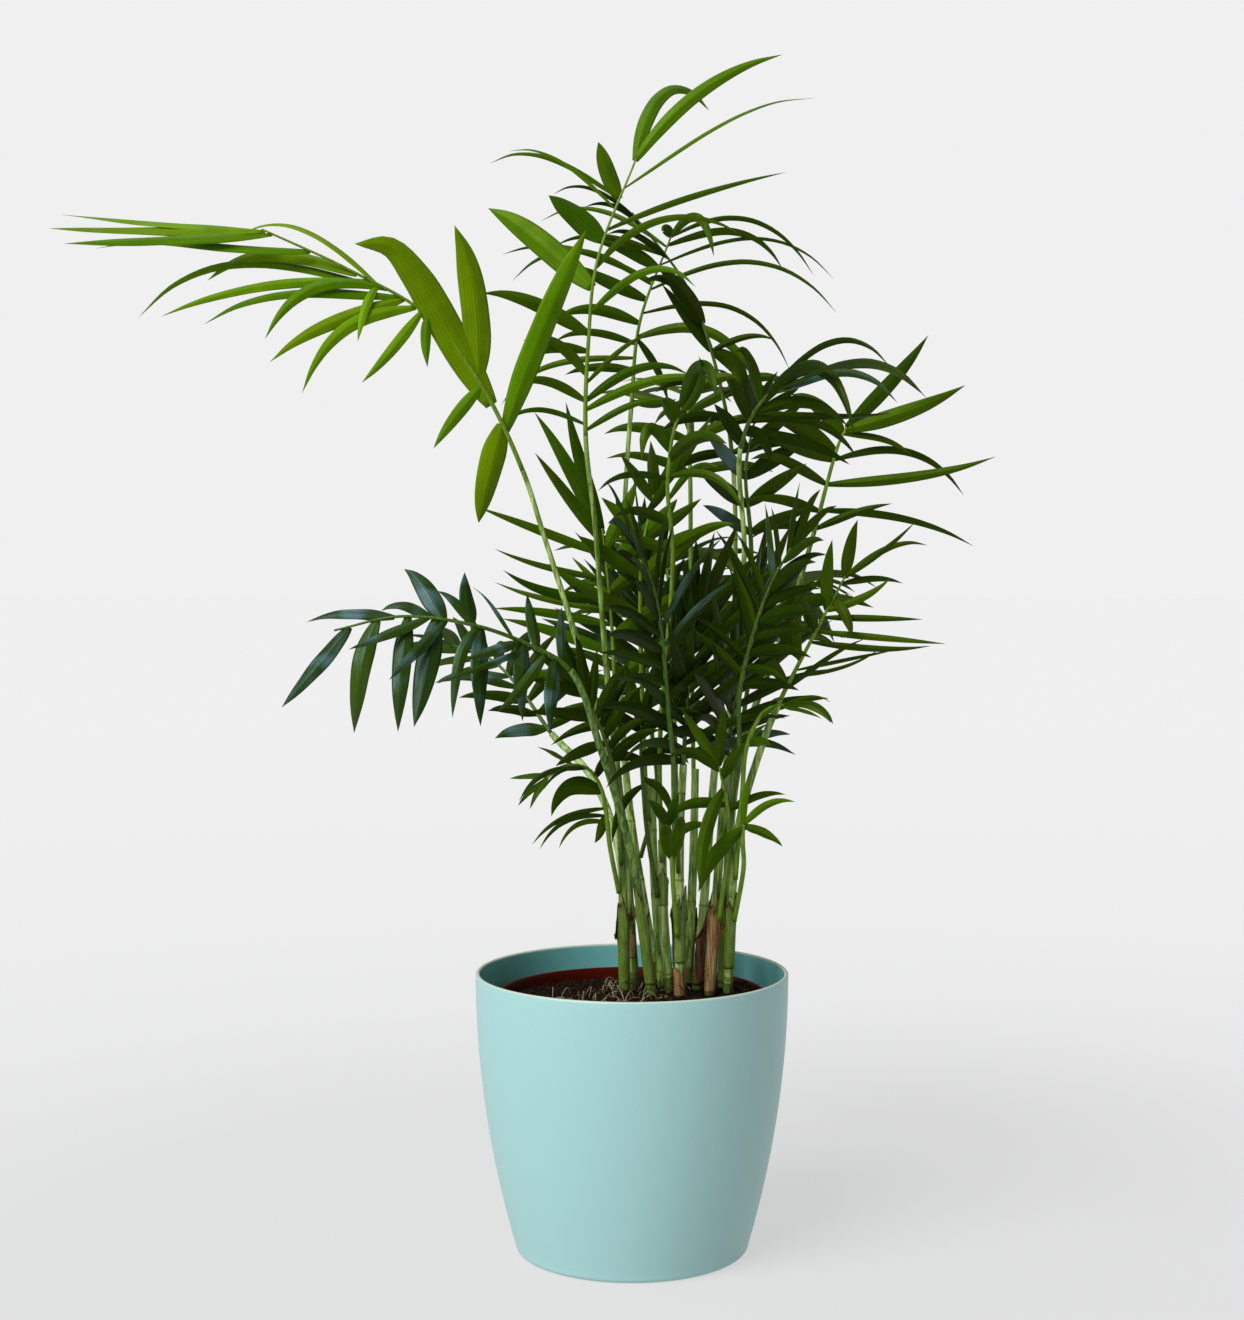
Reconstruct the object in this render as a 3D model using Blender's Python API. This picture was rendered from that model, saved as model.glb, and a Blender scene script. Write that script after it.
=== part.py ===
"""Parlour palm in its pot: a clump of slim green canes in a nursery pot, set in a turquoise
cover pot. The canes carry feather fronds whose leaflets are thin keeled blades.

Metres, +Z up. The origin is the centre of the cover pot's flat underside, and -Y is the front.
"""
import math

import bmesh
import bpy
import numpy as np
from mathutils import Vector
from mathutils.bvhtree import BVHTree

MM = 0.001
GAP = 0.0003

# Cover pot
POT_HEIGHT = 0.196
POT_RIM_RADIUS = 0.110
POT_FLARE = 0.0287
POT_WALL = 0.003
POT_FLOOR = 0.004
POT_CORNER = 0.004
POT_SIDES = 32

# Nursery pot and soil
NURSERY_RIM_RADIUS = 0.0945
NURSERY_FOOT_RADIUS = 0.070
NURSERY_TOP = 0.181
NURSERY_WALL = 0.0014
SOIL_EDGE = 0.174
SOIL_CROWN = 0.182
SOIL_CROWN_RADIUS = 0.047
SOIL_FALL = 0.022
SOIL_CENTRE_X = 0.032
SOIL_CENTRE_Y = 0.012

# Canes, stalks and ribs
CANE_RADIUS = 0.0036
CANE_MIDDLE_RADIUS = 0.0025
NECK_RADIUS = 0.0017
RIB_TIP_RADIUS = 0.0011
CANE_MIDDLE_HEIGHT = 0.36
CANE_NECK_HEIGHT = 0.50
CANE_SIDES = 7
RIB_SIDES = 4
STEPS = 3

# Most that a single leaflet swings out of its frond's plane, so that the crown is full from its sides,
# and how far towards the front a frond faces for its leaflets to swing
SWING = 0.55
FRONTAL = 0.9

# Leaflet blades
BLADE_THINNEST = 0.0013
BLADE_SHARE = 1 / 80
ROOT_WIDTH = 0.0022
ROOT_DEPTH = 0.0006
LONG_BLADE = 0.100
STRONG_BEND = 0.45
CLEARANCE = 0.0004

# Colours of the parts, linear
TURQUOISE = (0.30, 0.55, 0.53)
RED_BROWN = (0.10, 0.018, 0.012)
DARK_SOIL = (0.035, 0.020, 0.012)
CANE_GREEN = (0.20, 0.33, 0.08)
YOUNG_GREEN = (0.14, 0.28, 0.02)
LEAF_GREEN = (0.035, 0.11, 0.012)
DARK_GREEN = (0.012, 0.045, 0.012)


def row(at, lengths, angles, width=11, lift=0.22, droop=0.15, curl=0.0):
    """Leaflets along one side of a rib: from and to, lengths in mm, angles to the rib in degrees."""
    return dict(at=at, lengths=lengths, angles=angles, width=width, lift=lift, droop=droop, curl=curl)


# A frond stands on its own cane, or on the side of one at a height. Its rib runs from the neck to
# the last leaflets, and its face is the direction that its upper side looks, from neck to tip.
# An extra leaflet is its share of the rib, angle, length, width, lift, droop and curl.
FRONDS = {}
FRONDS["frond_top"] = dict(
    cane="cane_02", colour=LEAF_GREEN, seed=11,
    stem=((0.002, 0.004, 0.182), (-0.004, 0.002, 0.274), (-0.017, -0.010, 0.402), (-0.026, -0.020, 0.513)),
    rib=((-0.032, -0.020, 0.570), (-0.030, -0.020, 0.636), (-0.024, -0.015, 0.691), (0.003, 0.0, 0.764)),
    face=((0, -1, 0), (0, -1, 0.1)),
    right=[],
    left=[],
    extra=((0.99, -12, 116, 11, 0, 0.45, 0.2), (0.99, 12, 131, 10, 0, 0.12, 0.3),
           (0.88, 36, 144, 3, 0, 0.22, -0.1), (0.72, 39, 141, 5, 0, 0, 0.2),
           (0.58, 23, 121, 6, 0, 0.5, 0.5), (0.42, 45, 84, 6, 0, 0.5, 0), (0.18, 40, 62, 4, 0, 0.2, 0),
           (0.12, 48, 81, 7, 0, 0.4, 0.1), (0.09, 62, 97, 7, -0.1, 0.3, 0.2),
           (0.02, 58, 70, 5, 0, 0.3, 0), (0.84, -49, 42, 12, 0.2, -0.1, 0.1),
           (0.84, -78, 98, 4, 0, 0.3, 0.1), (0.80, -69, 84, 3, 0, 0.3, 0),
           (0.68, -65, 50, 17, 0.3, 0.1, 0), (0.51, -52, 98, 18, 0, 0.1, 0),
           (0.35, -64, 77, 11, 0, 0.2, 0), (0.29, -83, 55, 8, 0, 0.5, 0),
           (0.21, -38, 53, 8, 0.2, 0.4, -0.2), (0.12, -59, 55, 7, 0, 0.4, 0),
           (0.04, -65, 66, 4, 0, 0.5, 0)))
FRONDS["frond_crest_back"] = dict(
    cane="cane_05", colour=DARK_GREEN, seed=12,
    stem=((0.018, 0.040, 0.182), (-0.002, 0.055, 0.310), (-0.009, 0.070, 0.420), (-0.004, 0.080, 0.545)),
    rib=((0.0, 0.080, 0.600), (0.006, 0.080, 0.660), (0.029, 0.070, 0.722)),
    face=((0, -1, 0.1), (0, -1, 0.1)),
    right=[],
    left=[],
    extra=((0.99, 40, 122, 4, 0, 0.9, 0.3), (0.99, 18, 60, 7, 0.1, 1.3, 0),
           (0.94, 49, 96, 6, 0, 0.6, -0.1), (0.82, 45, 138, 3, 0, 0.5, 0),
           (0.67, 43, 152, 4, 0, 0.6, 0.1), (0.53, 60, 130, 4, 0, 0.7, -0.1),
           (0.39, 65, 114, 8, 0.1, 1, 0.1), (0.38, 132, 53, 6, 0.1, 0.4, -0.1),
           (0.02, 101, 34, 6, 0.2, -0.2, 0), (0.99, -44, 12, 8, 0, 0.6, 0),
           (0.93, -77, 104, 4, 0, 0.4, -0.1), (0.88, -90, 83, 5, 0, 0.3, 0),
           (0.80, -79, 54, 10, 0.2, 0.2, -0.1), (0.72, -86, 120, 5, -0.1, 0.3, -0.1),
           (0.70, -79, 116, 5, -0.1, 0.6, -0.1), (0.61, -82, 64, 10, 0.2, 0, 0),
           (0.47, -79, 66, 9, 0.2, 0.4, -0.1), (0.35, -81, 62, 6, 0, 0.3, 0),
           (0.27, -92, 115, 5, -0.1, 0.2, 0.3), (0.20, -86, 52, 7, 0.1, 0.2, 0)))
FRONDS["frond_crest_bent"] = dict(
    cane="cane_11", colour=DARK_GREEN, seed=22,
    stem=((0.055, 0.036, 0.182), (0.067, 0.040, 0.312), (0.075, 0.050, 0.486)),
    rib=((0.073, 0.050, 0.555), (0.065, 0.040, 0.604), (0.041, 0.030, 0.676), (0.0, 0.010, 0.728)),
    face=((0, -1, 0.1), (0, -1, 0.1)),
    right=[row((0.04, 0.26), (60, 66, 56), (80, 74, 70), 8, droop=(0.2, 0.4, 0.5))],
    left=[row((0.04, 0.30), (58, 56, 52), (80, 74, 66), (7, 8, 8), droop=(0.4, 0.3, 0.3))],
    extra=((0.42, 80, 47, 5, 0, 0.3, 0), (0.42, 124, 50, 12, 0.1, -0.2, -0.8),
           (0.42, -14, 60, 10, 0.2, 0, -0.1), (0.52, -11, 55, 13, 0.2, 0.1, -0.1),
           (0.62, -26, 43, 7, 0.1, 0.3, -0.1), (0.79, -13, 57, 5, 0, 0.3, 0),
           (0.93, -5, 49, 4, 0, 0.3, -0.2), (0.98, -10, 62, 3, 0, 0.4, 0)))
FRONDS["frond_long_left"] = dict(
    cane="cane_01", colour=YOUNG_GREEN, seed=13,
    stem=((-0.005, -0.012, 0.182), (-0.011, -0.030, 0.327), (-0.036, -0.040, 0.424),
          (-0.060, -0.050, 0.502)),
    rib=((-0.074, -0.050, 0.545), (-0.099, -0.060, 0.598), (-0.134, -0.070, 0.645),
         (-0.186, -0.080, 0.675), (-0.242, -0.090, 0.700)),
    face=((0.3, -1, 0), (0, -1, 0.6), (0, -0.6, 1)),
    right=[],
    left=[],
    extra=((0.99, -7, 130, 9, -0.34, 0, 0), (0.99, -14, 136, 8, -0.36, 0, 0),
           (0.97, -26, 132, 8, -0.3, 0, 0), (0.86, -25, 142, 8, -0.2, 0.2, 0.4),
           (0.72, 2, 105, 9, -0.2, 0.4, 0), (0.66, 25, 117, 4, -0.1, 0.4, 0),
           (0.68, -28, 144, 6, -0.1, 0.1, -0.2), (0.63, -10, 177, 5, -0.2, 0.5, 0.2),
           (0.64, -26, 100, 7, 0.1, 0.7, -0.1), (0.59, -33, 134, 6, 0, 0.3, 0.2),
           (0.58, -54, 107, 8, 0, 0.2, 0.1), (0.54, -51, 109, 7, 0.1, 0.7, 0.1),
           (0.52, -88, 80, 6, 0.2, -0.1, -0.3), (0.50, -116, 37, 6, 0.1, 0.2, 0.2),
           (0.66, -87, 50, 5, 0.1, 0.5, 0.1), (0.20, -4, 148, 18, 0, 0.4, 0.2),
           (0.28, 37, 104, 16, 0, 0.1, -0.2), (0.12, 45, 147, 13, 0, 0, 0.1),
           (0.26, -106, 54, 7, 0, 0.1, 0), (0.14, -140, 68, 14, 0, 0, 0)))
FRONDS["frond_arching_left"] = dict(
    cane="cane_04", colour=DARK_GREEN, seed=14,
    stem=((0.014, -0.018, 0.182), (0.0, -0.035, 0.280), (-0.022, -0.070, 0.361)),
    rib=((-0.041, -0.090, 0.412), (-0.070, -0.100, 0.430), (-0.105, -0.120, 0.443),
         (-0.150, -0.120, 0.448), (-0.192, -0.120, 0.439)),
    face=((0, -0.7, 1), (0, -1, 0.6), (0, -1, 0.7)),
    right=[],
    left=[],
    extra=((0.94, -43, 69, 12, 0, 0, 0), (0.83, -59, 76, 14, 0, 2.4, 0), (0.71, -87, 77, 13, 0, 1.4, 0),
           (0.60, -90, 79, 16, 0, 0, 0), (0.43, -56, 66, 8, 0, 2.4, 0), (0.42, -90, 68, 13, 0, 0.7, 0),
           (0.22, -88, 56, 14, 0, 1.3, 0), (0.12, -76, 79, 8, 0, -0.1, 0), (0.07, -96, 56, 12, 0, 0.5, 0),
           (0.63, -40, 58, 8, 0.2, 0, 0), (0.56, -64, 63, 8, 0.2, 0, 0), (0.24, -44, 77, 8, 0.2, 0, 0),
           (0.18, -47, 86, 5, 0, 0, 0), (0.76, 15, 58, 9, 0.1, 0.2, 0), (0.62, 22, 35, 8, 0.2, 0.4, 0),
           (0.57, 53, 47, 14, 0.1, 0.2, 0), (0.46, 75, 36, 12, 0.1, -0.2, 0),
           (0.44, 42, 34, 8, 0.1, 0.2, 0), (0.27, 49, 44, 5, 0.1, 0.2, 0), (0.16, 72, 46, 10, 0.1, 0.1, 0),
           (0.04, 66, 46, 9, 0.1, 0.1, 0)))
FRONDS["frond_upper_right"] = dict(
    cane="cane_12", colour=LEAF_GREEN, seed=15,
    stem=((0.064, 0.010, 0.182), (0.076, 0.010, 0.344), (0.110, 0.020, 0.440)),
    rib=((0.130, 0.030, 0.505), (0.147, 0.030, 0.567), (0.153, 0.030, 0.580)),
    face=((0, -1, 0), (0, -1, 0.3)),
    right=[],
    left=[],
    extra=((0.99, 21, 83, 11, 0.1, -0.1, 0), (0.97, 52, 87, 12, 0, -0.1, 0), (0.93, 67, 54, 5, 0, 0.3, 0),
           (0.68, 56, 106, 6, 0, 0.6, 0.1), (0.45, 72, 119, 8, 0, -0.1, 0),
           (0.21, 76, 117, 6, 0, 0.2, 0.1), (0.03, 51, 56, 6, 0, 0.1, 0),
           (0.93, -63, 49, 12, 0.2, 0.3, -0.1), (0.75, -71, 62, 13, 0.2, 0.2, 0.1),
           (0.68, -88, 67, 11, 0.1, 0, 0), (0.45, -75, 66, 8, 0.1, 0.2, 0.2),
           (0.20, -87, 58, 8, 0.1, 0.2, 0), (0.03, -92, 50, 7, 0.1, 0.4, 0)))
FRONDS["frond_arching_right"] = dict(
    cane="cane_09", colour=DARK_GREEN, seed=16,
    stem=((0.046, 0.002, 0.182), (0.062, -0.020, 0.388), (0.076, -0.040, 0.485)),
    rib=((0.073, -0.050, 0.560), (0.088, -0.070, 0.592), (0.115, -0.090, 0.605)),
    face=((0.3, -1, 0.2), (0, -0.7, 1)),
    right=[],
    left=[row((0.05, 0.45), (38, 50, 50), (40, 50, 60), 8, lift=0, droop=(0.2, 0.3, 0.4))],
    extra=((0.87, 17, 113, 8, 0.1, 0.4, -0.1), (0.67, 34, 150, 5, 0.2, 0.5, -0.5),
           (0.62, 28, 115, 7, 0.1, 0.5, -0.4), (0.52, -2, 122, 5, 0, 0.5, 0.1),
           (0.46, 6, 118, 10, 0.1, 1, 0), (0.34, 62, 93, 6, 0.1, -0.1, 0.1),
           (0.32, 33, 75, 9, 0.1, 0.5, 0.2), (0.26, 53, 83, 7, 0.1, 0.5, 0),
           (0.20, 94, 30, 8, 0.1, 0.9, -0.3), (0.14, 83, 75, 9, 0.1, 0.2, 0)))
FRONDS["frond_rear_left"] = dict(
    cane="cane_03", colour=DARK_GREEN, seed=17,
    stem=((0.0, 0.026, 0.182), (-0.011, 0.055, 0.281), (-0.031, 0.090, 0.326)),
    rib=((-0.060, 0.110, 0.355), (-0.085, 0.130, 0.388), (-0.109, 0.150, 0.410), (-0.140, 0.170, 0.420)),
    face=((0, -0.6, 1), (0, -0.4, 1)),
    right=[row((0.05, 0.95), (75, 80, 75, 65, 55), (75, 65, 55, 45, 40), 11, lift=0.1, droop=0.2)],
    left=[row((0.05, 0.95), (44, 54, 60, 60, 52), (60, 58, 52, 45, 40), 11, lift=0, droop=0.2)],
    extra=((0.99, 10, 55, 10, 0, 0.15, 0), (0.99, -12, 55, 10, 0, 0.3, 0)))
FRONDS["frond_mid_right"] = dict(
    cane="cane_13", colour=LEAF_GREEN, seed=18,
    stem=((0.067, -0.008, 0.182), (0.073, -0.030, 0.299), (0.088, -0.030, 0.354)),
    rib=((0.100, -0.030, 0.385), (0.125, -0.030, 0.434), (0.146, -0.030, 0.474)),
    face=((0, -1, 0.1), (0, -1, 0.3)),
    right=[],
    left=[],
    extra=((0.99, 24, 63, 5, 0.1, 0.3, 0), (0.98, 29, 61, 4, 0, -0.1, 0), (0.99, -18, 41, 9, 0.2, 0.2, 0),
           (0.94, 49, 43, 5, 0, 0.2, 0), (0.83, 114, 29, 8, 0.1, 0.4, -0.1),
           (0.73, 45, 49, 6, 0.1, -0.2, 0), (0.68, 64, 67, 5, 0, 0, 0), (0.57, 68, 88, 5, 0, 0, 0),
           (0.49, 70, 82, 5, 0.1, -0.1, 0), (0.27, 51, 73, 3, 0, 0, 0), (0.22, 55, 64, 3, 0.1, -0.2, 0),
           (0.12, 25, 65, 4, 0.1, 0.1, 0), (0.82, -117, 34, 10, 0.2, 0.6, 0.1),
           (0.73, -30, 49, 9, 0, 0.1, 0.1), (0.57, -47, 29, 9, 0.2, 0.3, 0.1),
           (0.36, -61, 37, 10, 0.3, 0.2, 0.1), (0.34, -41, 69, 8, 0.2, 0.2, 0.3),
           (0.15, -60, 50, 9, 0.2, 0.2, 0)))
FRONDS["frond_heart_front"] = dict(
    cane="cane_07", colour=DARK_GREEN, seed=31,
    stem=((0.033, -0.022, 0.182), (0.033, -0.030, 0.300)),
    rib=((0.035, -0.036, 0.345), (0.038, -0.045, 0.395), (0.045, -0.050, 0.445)),
    face=((0.4, -1, 0), (0.4, -1, 0.1)),
    right=[row((0.05, 0.95), (80, 92, 98, 94, 84, 72), (66, 50, 38, 30, 24, 18), (9, 10, 10, 10, 9, 8),
               droop=(0.3, 0.1, 0.05, 0.05, 0.05, 0.05))],
    left=[row((0.02, 0.88), (74, 88, 96, 90, 84, 74), (72, 54, 40, 28, 22, 16), (9, 10, 10, 10, 9, 8),
              droop=(0.4, 0.2, 0.05, 0.05, 0.05, 0.05))],
    extra=((0.99, 8, 70, 9, 0, 0, 0), (0.99, -10, 64, 9, 0, 0, 0)))
FRONDS["frond_heart_right"] = dict(
    cane="cane_10", colour=DARK_GREEN, seed=32,
    stem=((0.054, -0.016, 0.182), (0.062, -0.020, 0.300)),
    rib=((0.066, -0.022, 0.350), (0.074, -0.015, 0.405), (0.086, -0.010, 0.450)),
    face=((0.7, -1, 0), (0.7, -1, 0.1)),
    right=[row((0.05, 0.95), (50, 72, 88, 88, 80, 68), (66, 52, 40, 32, 26, 20), (8, 9, 10, 10, 9, 8),
               droop=(0.2, 0.1, 0.05, 0.05, 0.05, 0.05))],
    left=[row((0.02, 0.90), (74, 86, 94, 88, 80, 66), (76, 56, 40, 30, 26, 20), (9, 10, 10, 10, 9, 8),
              droop=(0.4, 0.1, 0.05, 0.05, 0.05, 0.05))],
    extra=((0.99, 8, 66, 9, 0, 0, 0), (0.99, -10, 62, 9, 0, 0, 0)))
FRONDS["frond_heart_back"] = dict(
    cane="cane_05", height=0.270, colour=DARK_GREEN, seed=33,
    stem=((0.018, 0.032, 0.320),),
    rib=((0.014, 0.030, 0.366), (0.009, 0.030, 0.430), (0.004, 0.030, 0.470)),
    face=((-0.6, -1, 0), (-0.6, -1, 0.1)),
    right=[row((0.05, 0.95), (80, 90, 94, 88, 80, 68), (70, 56, 44, 36, 30, 24), (9, 10, 11, 10, 10, 9),
               droop=(0.3, 0.1, 0.05, 0.05, 0.05, 0.05))],
    left=[row((0.02, 0.90), (82, 90, 92, 86, 78, 66), (78, 64, 50, 40, 32, 26), (9, 10, 11, 10, 10, 9),
              droop=(0.3, 0.1, 0.05, 0.05, 0.05, 0.05))],
    extra=((0.99, 14, 62, 10, 0, 0, 0), (0.99, -8, 64, 10, 0, 0, 0)))
FRONDS["frond_heart_left"] = dict(
    cane="cane_02", height=0.290, colour=LEAF_GREEN, seed=34,
    stem=((-0.010, 0.012, 0.345),),
    rib=((-0.012, 0.014, 0.394), (-0.015, 0.020, 0.450), (-0.021, 0.020, 0.508)),
    face=((0, -1, 0), (0, -1, 0.1)),
    right=[row((0.05, 0.60), (70, 75, 72), (65, 58, 50), (11, 12, 11), droop=0.05)],
    left=[row((0.05, 0.40), (74, 80, 80), (75, 74, 72), (10, 9, 8), droop=0.05)],
    extra=((0.99, -13, 91, 10, 0.2, -0.2, 0), (0.96, -20, 99, 11, 0, 0.1, 0),
           (0.90, -31, 80, 9, 0.1, 0, 0), (0.86, 33, 55, 11, 0, -0.1, 0),
           (0.74, 55, 83, 14, 0.1, -0.1, 0), (0.83, -63, 97, 7, 0, 0, 0), (0.68, -74, 83, 5, 0, -0.1, 0),
           (0.58, -39, 39, 5, 0.2, 0, 0), (0.56, -60, 51, 7, 0.2, -0.1, 0),
           (0.55, -81, 77, 8, 0, -0.2, 0), (0.49, -77, 87, 5, 0.1, -0.1, 0)))
FRONDS["frond_centre_slim"] = dict(
    cane="cane_06", height=0.300, colour=LEAF_GREEN, seed=35,
    stem=((0.008, 0.010, 0.370),),
    rib=((0.006, 0.0, 0.440), (0.007, -0.010, 0.490), (0.015, -0.020, 0.530)),
    face=((-0.3, -1, 0), (-0.3, -1, 0.1)),
    right=[row((0.05, 0.95), (60, 58, 50, 60), (60, 55, 40, 25), (11, 12, 10, 9), droop=(0.05, 0.1, 0, 0))],
    left=[row((0.05, 0.95), (55, 50, 40, 40), (60, 55, 50, 40), (11, 12, 11, 9), droop=0.05)],
    extra=((0.99, 22, 68, 9, 0, 0, 0), (0.99, -8, 40, 10, 0, 0, 0)))
FRONDS["frond_centre_front"] = dict(
    cane="cane_15", height=0.275, colour=LEAF_GREEN, seed=61,
    stem=((0.019, -0.035, 0.360),),
    rib=((0.027, -0.070, 0.485), (0.023, -0.085, 0.537), (0.030, -0.095, 0.579), (0.042, -0.100, 0.596)),
    face=((0, -1, 0), (0, -1, 0.3)),
    right=[],
    left=[],
    extra=((0.99, 20, 30, 8, 0, 0.3, 0), (0.85, -7, 67, 12, 0.1, 0.8, 0),
           (0.83, 28, 51, 6, 0.2, 0.2, -0.5), (0.77, -31, 24, 11, 0.2, 0.3, 0),
           (0.61, -39, 46, 8, 0.1, 1.2, 0.2), (0.56, 29, 49, 10, 0.1, 0.4, 0.2),
           (0.47, 68, 61, 6, 0, 0.7, 0), (0.46, -75, 51, 5, 0, 0.3, 0.1),
           (0.44, -151, 30, 7, 0.1, -0.2, 0), (0.34, 33, 50, 5, 0, 0.4, 0),
           (0.20, -50, 44, 8, 0.1, 0.3, 0), (0.06, 55, 48, 8, 0.1, 0.2, 0),
           (0.04, -60, 46, 8, 0.1, 0.2, 0)))
FRONDS["frond_centre_right"] = dict(
    cane="cane_11", height=0.310, colour=DARK_GREEN, seed=37,
    stem=((0.085, 0.022, 0.420),),
    rib=((0.084, 0.015, 0.500), (0.080, 0.010, 0.549), (0.086, 0.0, 0.585)),
    face=((0.6, -1, 0), (0.6, -1, 0.1)),
    right=[row((0.05, 0.95), (52, 56, 54, 50, 40), (65, 60, 55, 45, 35), (10, 12, 12, 11, 9), droop=0.05)],
    left=[row((0.05, 0.95), (56, 62, 62, 54, 42), (65, 60, 55, 45, 35), (10, 12, 12, 11, 9), droop=0.05)],
    extra=((0.99, 14, 36, 10, 0, 0.1, 0), (0.99, -14, 36, 10, 0, 0.1, 0)))
FRONDS["frond_low_right"] = dict(
    cane="cane_13", height=0.265, colour=LEAF_GREEN, seed=38,
    stem=((0.075, -0.042, 0.325),),
    rib=((0.078, -0.050, 0.360), (0.090, -0.060, 0.384), (0.102, -0.066, 0.388)),
    face=((0, -0.4, 1), (0, -0.4, 1)),
    right=[row((0.05, 0.95), (36, 38, 36), (60, 48, 34), (6, 6, 6), lift=0, droop=0.1)],
    left=[row((0.50, 0.95), (32, 36), (56, 40), (6, 6), lift=0, droop=0.4)],
    extra=((0.99, 10, 40, 7, 0, 0.5, 0), (0.99, -12, 40, 7, 0, 0.8, 0)))
FRONDS["frond_low_left"] = dict(
    cane="cane_01", height=0.255, colour=LEAF_GREEN, seed=39,
    stem=((-0.0155, -0.036, 0.290),),
    rib=((-0.017, -0.038, 0.304), (-0.021, -0.038, 0.328), (-0.030, -0.038, 0.342),
         (-0.046, -0.044, 0.345), (-0.058, -0.050, 0.337)),
    face=((0, -0.4, 1), (0, -0.4, 1)),
    right=[row((0.45, 0.95), (36, 34, 30), (65, 50, 40), (7, 6, 6), lift=0.2, droop=0.1)],
    left=[],
    extra=((0.99, 10, 28, 6, 0, 0.3, 0), (0.99, -12, 26, 6, 0, 0.5, 0), (0.62, -56, 60, 4, 0.2, 0.3, 0.3),
           (0.58, -36, 66, 6, 0, 0.5, 0.2), (0.31, -54, 49, 13, 0, 1, 0), (0.15, -88, 59, 4, 0, 0.4, 0),
           (0.09, -155, 21, 7, 0, -0.2, 0), (0.08, -79, 57, 4, 0.1, 0.6, 0),
           (0.02, -75, 42, 4, 0, 0.8, 0)))
FRONDS["frond_foot_right"] = dict(
    cane="cane_13", height=0.235, colour=YOUNG_GREEN, seed=40,
    stem=((0.0765, -0.036, 0.275),),
    rib=((0.0755, -0.042, 0.292), (0.076, -0.048, 0.305)),
    face=((0, -1, 1), (0, -1, 1)),
    right=[],
    left=[],
    extra=((0.99, 31, 44, 6, 0, 0.3, 0.2), (0.90, 104, 30, 8, 0, 0.2, 0),
           (0.80, -136, 58, 11, 0.1, 0.2, 0.2), (0.99, -8, 42, 5, 0, 0, 0.2)))
FRONDS["frond_foot_front"] = dict(
    cane="cane_07", height=0.225, colour=YOUNG_GREEN, seed=41,
    stem=((0.028, -0.040, 0.262),),
    rib=((0.027, -0.044, 0.280), (0.025, -0.050, 0.305)),
    face=((0, -1, 0.2), (0, -1, 0.2)),
    right=[],
    left=[],
    extra=((0.02, -13, 48, 9, 0, 0.3, 0.2), (0.02, 20, 50, 9, 0, 0.3, -0.2), (0.60, 60, 30, 7, 0, 0.4, 0),
           (0.90, -20, 34, 8, 0, 0.2, 0), (0.99, 14, 30, 7, 0, 0.1, 0)))
FRONDS["frond_foot_middle"] = dict(
    cane="cane_10", height=0.235, colour=YOUNG_GREEN, seed=42,
    stem=((0.066, -0.032, 0.285),),
    rib=((0.066, -0.038, 0.310), (0.059, -0.047, 0.345)),
    face=((0, -1, 0.2), (0, -1, 0.2)),
    right=[row((0.1, 0.8), (40, 46), (70, 40), (7, 8), lift=0, droop=0.2)],
    left=[row((0.2, 0.9), (46, 46), (70, 40), (8, 8), lift=0, droop=0.4)],
    extra=((0.99, 12, 48, 8, 0, 0, 0), (0.99, -20, 48, 8, 0, 0, 0), (0.54, -130, 61, 10, 0.1, 0.4, 0.2),
           (0.72, 32, 35, 8, 0.1, 0, 0)))
FRONDS["frond_foot_left"] = dict(
    cane="cane_01", height=0.275, colour=DARK_GREEN, seed=43,
    stem=((-0.009, -0.042, 0.318),),
    rib=((-0.013, -0.050, 0.345), (-0.023, -0.058, 0.376), (-0.033, -0.064, 0.396)),
    face=((0, -1, 0.2), (0, -1, 0.3)),
    right=[row((0.10, 0.90), (44, 50, 50, 44), (60, 48, 38, 28), (8, 9, 9, 8), lift=0.1, droop=0.2)],
    left=[row((0.30, 0.95), (38, 46, 46), (84, 60, 40), (8, 9, 8), lift=0.1, droop=0.1)],
    extra=((0.99, 10, 50, 9, 0, 0.1, 0), (0.99, -16, 48, 8, 0, 0.1, 0)))
FRONDS["frond_foot_centre"] = dict(
    cane="cane_15", height=0.250, colour=DARK_GREEN, seed=44,
    stem=((0.010, -0.020, 0.300),),
    rib=((0.008, -0.026, 0.325), (0.006, -0.034, 0.352), (0.006, -0.040, 0.372)),
    face=((0, -1, 0.2), (0, -1, 0.3)),
    right=[row((0.20, 0.90), (40, 44, 44), (120, 70, 44), (7, 8, 8), lift=0.2, droop=(1.5, 0.6, 0.2))],
    left=[row((0.10, 0.90), (44, 44, 44), (128, 74, 44), (7, 8, 8), lift=0.2, droop=(1.5, 0.6, 0.2))],
    extra=((0.99, 14, 46, 8, 0, 0.1, 0), (0.99, -14, 46, 8, 0, 0.1, 0)))
FRONDS["frond_front"] = dict(
    cane="cane_07", height=0.270, colour=DARK_GREEN, seed=51,
    stem=((0.028, -0.052, 0.345),),
    rib=((0.024, -0.064, 0.385), (0.020, -0.086, 0.428), (0.014, -0.108, 0.464), (0.004, -0.128, 0.490)),
    face=((0.3, -0.8, 0.7), (0.3, -0.8, 0.9)),
    right=[row((0.05, 0.90), (56, 74, 78, 72, 66), (62, 50, 38, 30, 22), (8, 9, 9, 9, 8),
               lift=0.1, droop=(0.1, 0.2))],
    left=[row((0.15, 0.95), (66, 78, 74, 68, 58), (58, 44, 36, 28, 22), (8, 9, 9, 8, 8),
              lift=0.1, droop=(0.1, 0.2))],
    extra=((0.99, 8, 60, 8, 0, 0.2, 0), (0.99, -12, 55, 8, 0, 0.3, 0)))
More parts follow.
